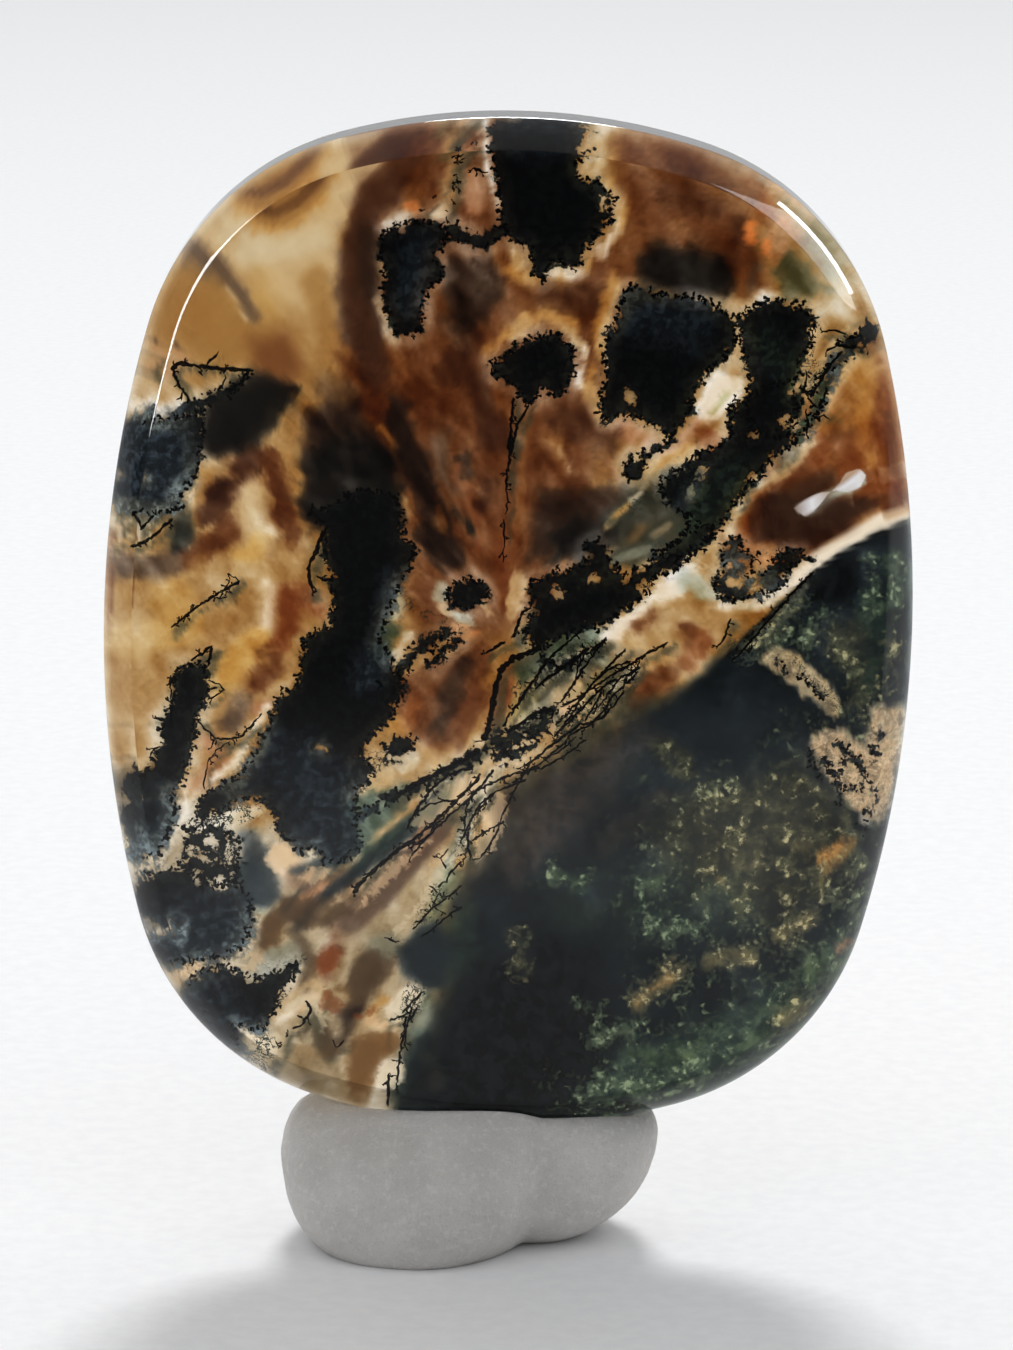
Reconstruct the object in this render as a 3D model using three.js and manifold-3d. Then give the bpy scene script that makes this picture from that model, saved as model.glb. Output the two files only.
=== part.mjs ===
import * as THREE from 'three';
import { LoftGeometry } from 'three/addons/geometries/LoftGeometry.js';
import { mergeVertices } from 'three/addons/utils/BufferGeometryUtils.js';
import Module from 'manifold-3d';

// A moss agate cabochon that stands on edge in a pinched lump of putty.
// Millimetres, +Z up. The origin is on the surface it stands on, below the middle of the stone,
// and the domed face of the stone looks along -Y.

// Stone
const stoneWidth = 31.5;
const stoneHeight = 40;
const sideRadius = 45; // the long sides, nearly straight
const endRadius = 25; // the top and bottom edges
const cornerRadius = 10.5;
const girdleDepth = 2.6; // the straight band round the edge
const shoulderInset = 1.15; // rounded front shoulder, across the face
const shoulderDepth = 1.2; // rounded front shoulder, along Y
const domeRise = 0.6; // the low dome inside the shoulder
const backBevel = 0.6;
const stoneLean = THREE.MathUtils.degToRad(1.25); // top towards +X
const stoneFoot = 4.7; // height of the stone's lowest point

// Putty
const grooveGap = 0.3; // room round the stone where it sits in the putty
// Flare is how much wider and less deep a lobe is at its top than halfway up, as a share
const lobes = [
	{
		centre: new THREE.Vector3(-3.1, 0, 2.2),
		radii: new THREE.Vector3(5.55, 5.8, 3.75),
		flare: new THREE.Vector2(0.2, -0.3),
		turn: THREE.MathUtils.degToRad(-15), // its right end nearer the viewer
	},
	{
		centre: new THREE.Vector3(1.1, 0.3, 2.6),
		radii: new THREE.Vector3(4.75, 4.1, 3.1),
		flare: new THREE.Vector2(0.3, 0),
		turn: 0,
	},
];
const lobeSquareness = { plan: 3.0, rise: 1.2, depth: 2.0, height: 2.2 };

// Steps along each stretch of a curve
const sideSteps = 14;
const cornerSteps = 12;
const endSteps = 14;
const shoulderSteps = 7;
const domeSteps = 5;
const lobeSteps = 36;

const mergeDistance = 1e-4;

const wasm = await Module();
wasm.setup();

function toSolid(geometry) {
	const plain = new THREE.BufferGeometry();
	plain.setAttribute('position', geometry.attributes.position);
	plain.setIndex(geometry.index);
	const merged = mergeVertices(plain, mergeDistance);
	return new wasm.Manifold(new wasm.Mesh({
		numProp: 3,
		vertProperties: new Float32Array(merged.attributes.position.array),
		triVerts: new Uint32Array(merged.index.array),
	}));
}

function toGeometry(solid) {
	const mesh = solid.getMesh();
	const geometry = new THREE.BufferGeometry();
	geometry.setAttribute('position', new THREE.BufferAttribute(new Float32Array(mesh.vertProperties), 3));
	geometry.setIndex(new THREE.BufferAttribute(new Uint32Array(mesh.triVerts), 1));
	geometry.computeVertexNormals();
	return geometry;
}

// The outline is eight arcs that meet with no corner: two sides, two ends and four corners.
// The centre of a corner arc is where it touches both a side arc and an end arc from inside.
const sideCentre = new THREE.Vector2(stoneWidth / 2 - sideRadius, 0);
const endCentre = new THREE.Vector2(0, stoneHeight / 2 - endRadius);
const cornerCentre = cornerArcCentre();

function cornerArcCentre() {
	const fromSide = sideRadius - cornerRadius;
	const fromEnd = endRadius - cornerRadius;
	const apart = sideCentre.distanceTo(endCentre);
	const along = (fromSide ** 2 - fromEnd ** 2 + apart ** 2) / (2 * apart);
	const across = Math.sqrt(fromSide ** 2 - along ** 2);
	const direction = endCentre.clone().sub(sideCentre).normalize();
	return sideCentre.clone()
		.addScaledVector(direction, along)
		.add(new THREE.Vector2(-direction.y, direction.x).multiplyScalar(across));
}

// Points of the outline, moved inwards by inset. Every inset gives points on the same normals.
function outline(inset) {
	const sideTurn = cornerCentre.clone().sub(sideCentre).angle();
	const endTurn = cornerCentre.clone().sub(endCentre).angle();
	const points = [];
	const addArc = (centre, radius, from, to, steps) => {
		const curve = new THREE.EllipseCurve(centre.x, centre.y, radius - inset, radius - inset, from, to);
		points.push(...curve.getPoints(steps).slice(0, -1));
	};
	const flip = (centre, x, y) => new THREE.Vector2(centre.x * x, centre.y * y);
	const half = Math.PI;
	addArc(sideCentre, sideRadius, -sideTurn, sideTurn, sideSteps);
	addArc(cornerCentre, cornerRadius, sideTurn, endTurn, cornerSteps);
	addArc(endCentre, endRadius, endTurn, half - endTurn, endSteps);
	addArc(flip(cornerCentre, -1, 1), cornerRadius, half - endTurn, half - sideTurn, cornerSteps);
	addArc(flip(sideCentre, -1, 1), sideRadius, half - sideTurn, half + sideTurn, sideSteps);
	addArc(flip(cornerCentre, -1, -1), cornerRadius, half + sideTurn, half + endTurn, cornerSteps);
	addArc(flip(endCentre, 1, -1), endRadius, half + endTurn, 2 * half - endTurn, endSteps);
	addArc(flip(cornerCentre, 1, -1), cornerRadius, 2 * half - endTurn, 2 * half - sideTurn, cornerSteps);
	return points;
}

// The stone as rings from the back to the top of the dome, grown all over by extra.
function stoneGeometry(extra = 0) {
	const shoulderStart = -girdleDepth / 2;
	const shoulderEnd = shoulderStart - shoulderDepth;
	const rings = [];
	const addRing = (inset, y, scale = 1) => {
		rings.push(outline(inset).map((point) => new THREE.Vector3(point.x * scale, y, point.y * scale)));
	};
	addRing(backBevel - extra, girdleDepth / 2 + backBevel + extra);
	addRing(-extra, girdleDepth / 2 + extra / 2);
	for (let step = 0; step <= shoulderSteps; step += 1) {
		const turn = step / shoulderSteps * Math.PI / 2;
		addRing(
			shoulderInset * (1 - Math.cos(turn)) - extra,
			shoulderStart - shoulderDepth * Math.sin(turn) - extra * Math.sin(turn),
		);
	}
	for (let step = 1; step <= domeSteps; step += 1) {
		const scale = 1 - step / (domeSteps + 0.25);
		addRing(shoulderInset - extra, shoulderEnd - extra - domeRise * (1 - scale ** 2), scale);
	}
	return new LoftGeometry(rings, { capStart: true, capEnd: true });
}

// One lobe of putty: a ball pulled to its radii, fuller at the top than at the foot.
function lobeGeometry({ centre, radii, flare, turn }) {
	const geometry = new THREE.SphereGeometry(1, lobeSteps, lobeSteps / 2);
	geometry.rotateX(Math.PI / 2);
	const position = geometry.attributes.position;
	const fuller = (value, squareness) => Math.sign(value) * Math.abs(value) ** (2 / squareness);
	for (let index = 0; index < position.count; index += 1) {
		const ball = new THREE.Vector3().fromBufferAttribute(position, index);
		const plan = lobeSquareness.plan + lobeSquareness.rise * ball.z;
		position.setXYZ(
			index,
			radii.x * (1 + flare.x * ball.z) * fuller(ball.x, plan),
			radii.y * (1 + flare.y * ball.z) * fuller(ball.y, lobeSquareness.depth),
			radii.z * fuller(ball.z, lobeSquareness.height),
		);
	}
	geometry.rotateZ(turn);
	geometry.translate(centre.x, centre.y, centre.z);
	return geometry;
}

function placeStone(object) {
	object.position.z = stoneFoot + stoneHeight / 2;
	object.rotation.y = stoneLean;
	object.updateMatrix();
	return object;
}

function makeCabochon() {
	const material = new THREE.MeshStandardMaterial({ color: 0x5b4030, roughness: 0.08, metalness: 0 });
	const mesh = placeStone(new THREE.Mesh(stoneGeometry(), material));
	mesh.name = 'cabochon';
	return mesh;
}

// The lobes are pressed together, flat where they meet the table, with a groove for the stone.
function makePuttyRest() {
	const grown = placeStone(new THREE.Mesh(stoneGeometry(grooveGap)));
	const groove = toSolid(grown.geometry.applyMatrix4(grown.matrix));
	const table = new THREE.BoxGeometry(stoneWidth, stoneWidth, stoneWidth);
	table.translate(0, 0, -stoneWidth / 2);
	const [left, right] = lobes.map((lobe) => toSolid(lobeGeometry(lobe)));
	const lump = left.add(right).subtract(toSolid(table)).subtract(groove);
	const material = new THREE.MeshStandardMaterial({ color: 0xa5a29e, roughness: 0.9, metalness: 0 });
	const mesh = new THREE.Mesh(toGeometry(lump), material);
	mesh.name = 'putty_rest';
	return mesh;
}

const part = new THREE.Group();
part.add(makeCabochon(), makePuttyRest());

export default part;
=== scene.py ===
import math

import bmesh
import bpy
import numpy as np
from mathutils import Matrix, Vector


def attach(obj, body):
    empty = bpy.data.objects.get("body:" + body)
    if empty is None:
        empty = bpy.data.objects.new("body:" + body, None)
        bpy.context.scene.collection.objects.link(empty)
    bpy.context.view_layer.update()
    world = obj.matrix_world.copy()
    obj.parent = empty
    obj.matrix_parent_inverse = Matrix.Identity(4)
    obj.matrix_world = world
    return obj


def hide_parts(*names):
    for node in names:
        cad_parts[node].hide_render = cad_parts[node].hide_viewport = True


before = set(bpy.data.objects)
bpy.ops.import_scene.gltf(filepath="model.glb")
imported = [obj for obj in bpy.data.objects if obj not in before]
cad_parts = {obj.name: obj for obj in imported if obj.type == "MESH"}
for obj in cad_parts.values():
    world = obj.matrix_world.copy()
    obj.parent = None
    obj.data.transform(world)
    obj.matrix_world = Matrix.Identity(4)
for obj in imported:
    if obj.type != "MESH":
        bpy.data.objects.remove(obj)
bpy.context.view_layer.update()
print("frame loaded", sorted(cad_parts))

mm = 0.001

# The layout of the pattern is written in the pixels of this view, columns then rows
view = {
    "columns": 1013,
    "rows": 1350,
    "pixelsPerMm": 25.46,
    "target": (-0.04, 0.0, 22.65),  # mm
    "distance": 220.0,  # mm
    "elevation": 11.5,  # degrees
    "roll": 0.45,  # degrees, clockwise in the picture
    "sensor": 36.0,
}

stone = {
    "width": 31.5,  # mm, as every length here
    "height": 40.0,
    "sideRadius": 45.0,
    "endRadius": 25.0,
    "cornerRadius": 10.5,
    "girdle": 2.6,
    "shoulderInset": 1.15,
    "shoulderDepth": 1.2,
    "shoulderFlatness": 1.28,  # 1 is a flat facet, 2 a round one
    "dome": 0.6,
    "backBevel": 0.6,
    "lean": 1.25,  # degrees
    "foot": 4.7,
    "around": 520,  # points round the outline
    "faceRings": 134,
    "backRings": 24,
    "bevelShares": (0.0, 0.06, 0.5, 0.94, 1.0),  # of the way over the back bevel
    "girdleShares": (0.04, 0.2, 0.4, 0.6, 0.8, 0.96),  # of the way over the girdle
    "shoulderRings": 14,
    "refraction": 1.54,
    "rimTint": (0.45, 0.45, 0.45, 1),  # how much the polish mirrors
    "backDepth": 0.3,  # less than the whole depth, where the back's pattern lies
    "thinRim": 0.42,  # how far in from the rim the colour is thinner
    "thinRings": 4,  # rings of the girdle that are as thin as the rim
    "rimColour": 0.3,  # share of the depth of colour that is left at the rim
    "rimMoss": 0.45,  # how far the moss draws back there
    "faceShare": 0.66,  # of the depth of colour, the rest is at the back
    "cloudedShare": 0.27,  # added in the clouded part
    "backMoss": (0.6, -0.45),  # slope and shift of the moss's edge at the back
    "fieldLimit": 2.5,
    "repeat": 24.0,  # view pixels, how far in the upper left shoulder looks
    "repeatTowards": (-0.62, -0.78),  # the upper left, in the view
}

stoneDepth = stone["girdle"] + stone["shoulderDepth"] + stone["dome"] + stone["backBevel"]


def smooth(value):
    value = np.clip(value, 0, 1)
    return value * value * (3 - 2 * value)


def toLinear(colour):
    share = np.array(colour, float) / 255
    return np.where(share <= 0.04045, share / 12.92, ((share + 0.055) / 1.055) ** 2.4)


# The camera as numbers first, since the pattern is laid out through it
elevation = math.radians(view["elevation"])
cameraAim = np.array(view["target"])
cameraPlace = cameraAim + view["distance"] * np.array([0, -math.cos(elevation), math.sin(elevation)])
cameraForward = (cameraAim - cameraPlace) / view["distance"]
levelUp = np.cross([1.0, 0, 0], cameraForward)
roll = math.radians(view["roll"])
cameraRight = math.cos(roll) * np.array([1.0, 0, 0]) + math.sin(roll) * levelUp
cameraUp = np.cross(cameraRight, cameraForward)
focalPixels = view["pixelsPerMm"] * view["distance"]


def toPixels(points):
    offset = points - cameraPlace
    depth = offset @ cameraForward
    column = view["columns"] / 2 + focalPixels * (offset @ cameraRight) / depth
    row = view["rows"] / 2 - focalPixels * (offset @ cameraUp) / depth
    return np.stack([column, row], axis=1)


def rayAt(pixels, depthY):
    # Where the sight line through each pixel meets the upright plane y = depthY
    pixels = np.atleast_2d(pixels).astype(float)
    ray = (
        cameraForward
        + (pixels[:, :1] - view["columns"] / 2) / focalPixels * cameraRight
        - (pixels[:, 1:] - view["rows"] / 2) / focalPixels * cameraUp
    )
    return cameraPlace + ray * ((depthY - cameraPlace[1]) / ray[:, 1])[:, None]


# Shader sums are written as expressions on sockets
class Socket:
    def __init__(self, graph, output):
        self.graph = graph
        self.output = output

    def combine(self, operation, first, second):
        return self.graph.add("ShaderNodeMath", {"operation": operation}, {0: first, 1: second})

    def __add__(self, other):
        return self.combine("ADD", self, other)

    def __radd__(self, other):
        return self.combine("ADD", other, self)

    def __sub__(self, other):
        return self.combine("SUBTRACT", self, other)

    def __rsub__(self, other):
        return self.combine("SUBTRACT", other, self)

    def __mul__(self, other):
        return self.combine("MULTIPLY", self, other)

    def __rmul__(self, other):
        return self.combine("MULTIPLY", other, self)

    def __abs__(self):
        return self.graph.add("ShaderNodeMath", {"operation": "ABSOLUTE"}, {0: self})

    def between(self, low, high, bottom=0.0, top=1.0):
        return self.graph.add(
            "ShaderNodeMapRange",
            {"interpolation_type": "SMOOTHSTEP"},
            {"Value": self, "From Min": low, "From Max": high, "To Min": bottom, "To Max": top},
        )


class Graph:
    def __init__(self, owner):
        # The owner of the nodes is a material or the world
        self.owner = owner
        owner.use_nodes = True
        self.tree = owner.node_tree
        self.tree.nodes.clear()

    def add(self, kind, settings=None, values=None, output=0):
        node = self.tree.nodes.new(kind)
        for key, value in (settings or {}).items():
            setattr(node, key, value)
        for key, value in (values or {}).items():
            socket = node.inputs[key]
            if isinstance(value, Socket):
                self.tree.links.new(value.output, socket)
            else:
                socket.default_value = value
        return Socket(self, node.outputs[output]) if node.outputs else node

    def mix(self, factor, first, second, blend="MIX"):
        return self.add(
            "ShaderNodeMix",
            {"data_type": "RGBA", "blend_type": blend},
            {0: factor, 6: first, 7: second},
            output=2,
        )

    def attribute(self, name, output="Fac"):
        return self.add("ShaderNodeAttribute", {"attribute_name": name}, output=output)

    def noise(self, vector, scale, detail=4.0, roughness=0.55, distortion=0.0, output=0):
        values = {"Vector": vector, "Scale": scale, "Detail": detail}
        values |= {"Roughness": roughness, "Distortion": distortion}
        return self.add("ShaderNodeTexNoise", {"noise_dimensions": "3D"}, values, output)

    def placeInMm(self):
        place = self.add("ShaderNodeTexCoord", output="Object")
        return self.scaled(place, 1 / mm)

    def scaled(self, vector, factor):
        return self.add("ShaderNodeVectorMath", {"operation": "SCALE"}, {0: vector, "Scale": factor})

    def part(self, vector, index):
        # 0, 1 or 2 for x, y or z
        return self.add("ShaderNodeSeparateXYZ", None, {0: vector}, output=index)

    def principled(self, values):
        shader = self.add("ShaderNodeBsdfPrincipled", None, values)
        self.add("ShaderNodeOutputMaterial", None, {"Surface": shader})
        return self.owner


def materialGraph(name):
    return Graph(bpy.data.materials.new(name))


# Patches, masses and lines are laid out in the view's pixels, as text that reads "x,y x,y"
def readPath(text):
    return np.array([[float(number) for number in pair.split(",")] for pair in text.split()])


def pathDistance(spots, path):
    nearest = np.hypot(*(spots - path[0]).T)
    along = np.zeros(len(spots))
    lengths = np.hypot(*np.diff(path, axis=0).T) if len(path) > 1 else []
    whole = max(float(np.sum(lengths)), 1e-6)
    passed = 0.0
    for start, end, length in zip(path[:-1], path[1:], lengths):
        run = end - start
        share = np.clip(((spots - start) @ run) / (run @ run), 0, 1)
        gap = np.hypot(*(spots - start - share[:, None] * run).T)
        closer = gap < nearest
        nearest = np.where(closer, gap, nearest)
        along = np.where(closer, (passed + share * length) / whole, along)
        passed += length
    return nearest, along


def insideOf(spots, path):
    inside = np.zeros(len(spots), bool)
    for start, end in zip(path, np.roll(path, -1, axis=0)):
        crosses = (start[1] > spots[:, 1]) != (end[1] > spots[:, 1])
        rise = end[1] - start[1] if end[1] != start[1] else 1e-9
        meets = start[0] + (spots[:, 1] - start[1]) * (end[0] - start[0]) / rise
        inside ^= crosses & (spots[:, 0] < meets)
    return inside


def depthInside(spots, half, path):
    # Pixels inside the edge of a shape, less than 0 outside. Half 0 is a filled outline,
    # otherwise a line of that half width, or a pair for its two ends.
    if isinstance(half, tuple) or half > 0:
        gap, along = pathDistance(spots, path)
        first, last = half if isinstance(half, tuple) else (half, half)
        return first + (last - first) * along - gap
    gap, along = pathDistance(spots, np.vstack([path, path[:1]]))
    return np.where(insideOf(spots, path), gap, -gap)


latticeSize = 96
latticeShift = 40.37  # cells, so that the octaves don't line up
octaveRatio = 2.03
octaveSeeds = 17  # apart


def cloud(spots, size, seed, octaves=3, gain=0.55):
    # Soft random field from -1 to 1
    total = np.zeros(len(spots))
    weight, weights = 1.0, 0.0
    for octave in range(octaves):
        dice = np.random.default_rng(seed + octaveSeeds * octave)
        lattice = dice.uniform(-1, 1, (latticeSize, latticeSize))
        at = spots / size + latticeShift * (octave + 1)
        cell = np.floor(at).astype(int)
        part = smooth(at - cell)
        x0, y0 = cell[:, 0] % latticeSize, cell[:, 1] % latticeSize
        x1, y1 = (x0 + 1) % latticeSize, (y0 + 1) % latticeSize
        upper = lattice[x0, y0] * (1 - part[:, 0]) + lattice[x1, y0] * part[:, 0]
        lower = lattice[x0, y1] * (1 - part[:, 0]) + lattice[x1, y1] * part[:, 0]
        total += weight * (upper * (1 - part[:, 1]) + lower * part[:, 1])
        weights += weight
        weight *= gain
        size /= octaveRatio
    return total / weights


# What a stain of each dye, seen through the whole stone, looks like
dyes = {
    "white": (228, 214, 192),
    "milk": (206, 190, 160),
    "cream": (200, 172, 126),
    "tan": (180, 146, 98),
    "straw": (204, 164, 92),
    "amber": (186, 138, 72),
    "honey": (152, 108, 54),
    "caramel": (128, 80, 40),
    "brown": (100, 56, 28),
    "rust": (122, 64, 30),
    "umber": (66, 36, 20),
    "mauve": (92, 72, 56),
    "salmon": (176, 126, 88),
    "orange": (206, 120, 56),
    "bark": (40, 25, 16),
    "soot": (17, 14, 11),
    "slate": (19, 24, 26),
    "dusk": (40, 48, 52),
    "ink": (6, 7, 8),
    "olive": (74, 70, 42),
    "moss": (46, 58, 40),
    "leaf": (66, 84, 52),
    "fern": (98, 116, 72),
    "lime": (150, 146, 82),
    "mist": (170, 172, 150),
    "sage": (140, 146, 108),
    "sand": (176, 158, 126),
    "peach": (214, 184, 144),
    "fawn": (140, 108, 80),
    "fallow": (152, 132, 100),
    "ash": (118, 116, 96),
    "clay": (114, 82, 46),
    "cocoa": (78, 60, 40),
    "brick": (104, 64, 42),
    "forest": (46, 62, 50),
    "bog": (54, 52, 38),
    "haze": (62, 52, 44),
    "reed": (140, 124, 78),
    "pearl": (214, 212, 212),
}

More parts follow.
